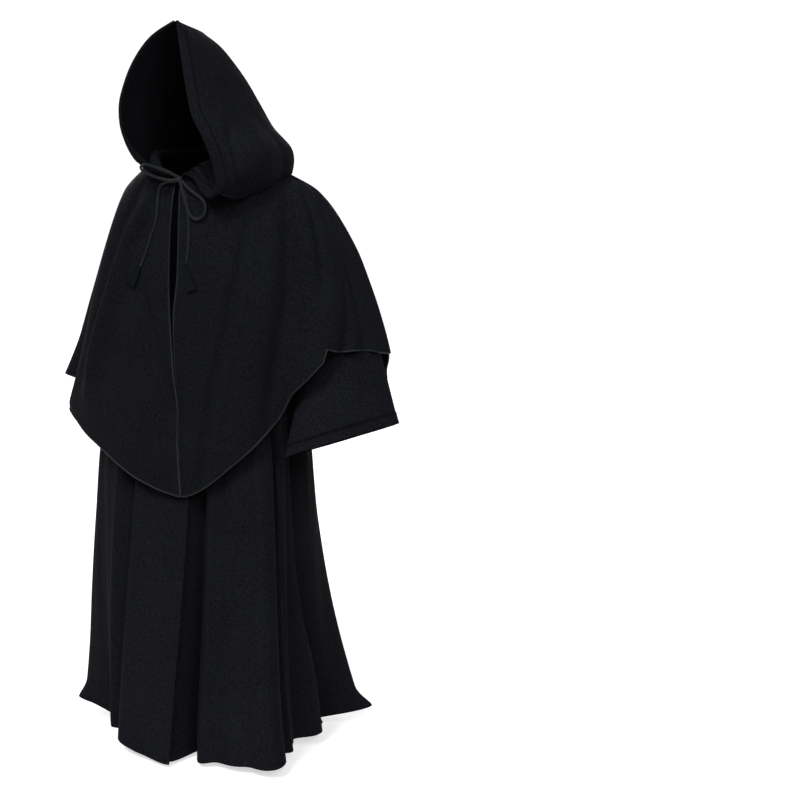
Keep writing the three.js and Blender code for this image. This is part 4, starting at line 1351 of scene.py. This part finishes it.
class CLOAK_OT_hood(bpy.types.Operator):
    """Deep hood in two halves, gathered at the neck, with a turned band round the face"""

    bl_idname = "cloak.hood"
    bl_label = "Hood"

    def execute(self, context):
        wool = finish("napped_wool")
        band = context.scene.cloak_sizes.hood_band / MM
        for name, arcs, side in (("left", HOOD_LEFT, 1), ("right", HOOD_RIGHT, -1)):
            rows = np.linspace(1, 0, 121)
            half = HoodHalf(arcs, side, rows)
            points = self.kept_to_side(half.cloth(121), side)
            piece = settled(cloth("wool_hood_" + name, points, wool, facing=side))
            rides(piece, "hood_" + name)
            span = HoodHalf(arcs, side, np.linspace(*HOOD_BAND_SPAN[::-1], 111))
            strip = np.flip(span.strip(band, 9).transpose(1, 0, 2), 0)
            stitched = finish("band_wool")
            turned = cloth("turned_hood_band_" + name, strip, stitched, BAND, side, lift=ON_WOOL)
            rides(settled(turned), "hood_band_" + name)
            inside = np.flip(span.strip(band * FACING_SHARE, 13).transpose(1, 0, 2), 0)
            facing = cloth("hood_facing_" + name, inside, stitched, BAND, side, lift=-ON_WOOL)
            rides(settled(facing))
            way = ways_out(strip, side)[-1]
            roll = rides(strand("hood_edge_" + name, strip[-1], way, *HOOD_EDGE, wool))
            on_it = [turned, facing, roll]
            if side > 0:
                on_it.append(self.seam(half, wool))
            cut_as("hood_" + name, piece, "gathered", ["cape_front_" + name, "cape_back"], on_it)
        return {"FINISHED"}

    def kept_to_side(self, points, side):
        """Points whose wall stays on its own side of the seam, however the cloth lies there."""
        least = SEAM_GAP / 2 + WOOL / 2 * np.abs(ways_out(points, side)[..., 0])
        points[..., 0] = side * np.maximum(side * points[..., 0], least)
        return points

    def seam(self, half, wool):
        """Rolled seam inside the hood, where its two halves meet at the top and back."""
        line = half.dense[half.rows > 0.03, -1] * (0, 1, 1)
        tangent = np.gradient(line, axis=0)
        out = unit(np.cross(tangent, (1, 0, 0)))
        out *= np.sign(np.sum(out * (line - line.mean(0)), -1).sum())
        line = line - out * SEAM_ROLL * SEAM_INSIDE
        return rides(strand("hood_seam", line, out, SEAM_ROLL, SEAM_ROLL, wool))


class CLOAK_PT_pieces(bpy.types.Panel):
    """Pieces, sizes and colours of the cloak"""

    bl_idname = "CLOAK_PT_pieces"
    bl_label = "Cloak"
    bl_space_type = "VIEW_3D"
    bl_region_type = "UI"
    bl_category = "Cloak"

    def draw(self, context):
        layout = self.layout
        for group in (context.scene.cloak_sizes, context.scene.cloak_colours):
            for name in group.__annotations__:
                layout.prop(group, name)
        for operator in OPERATORS:
            layout.operator(operator.bl_idname)


GROUPS = (CloakSizes, CloakColours)
OPERATORS = (CLOAK_OT_stage, CLOAK_OT_cord, CLOAK_OT_robe, CLOAK_OT_cape, CLOAK_OT_hood)


def register():
    for kind in (*GROUPS, *OPERATORS, CLOAK_PT_pieces):
        bpy.utils.register_class(kind)
    bpy.types.Scene.cloak_sizes = PointerProperty(type=CloakSizes)
    bpy.types.Scene.cloak_colours = PointerProperty(type=CloakColours)


def unregister():
    del bpy.types.Scene.cloak_sizes
    del bpy.types.Scene.cloak_colours
    for kind in reversed((*GROUPS, *OPERATORS, CLOAK_PT_pieces)):
        bpy.utils.unregister_class(kind)


def main():
    register()
    for operator in OPERATORS:
        group, name = operator.bl_idname.split(".")
        getattr(getattr(bpy.ops, group), name)()
    with open("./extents.json", "w") as file:
        json.dump({"cad": np.array(cad_box).tolist(), "visual": np.array(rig.bounds()).tolist()}, file)


if __name__ == "__main__":
    main()
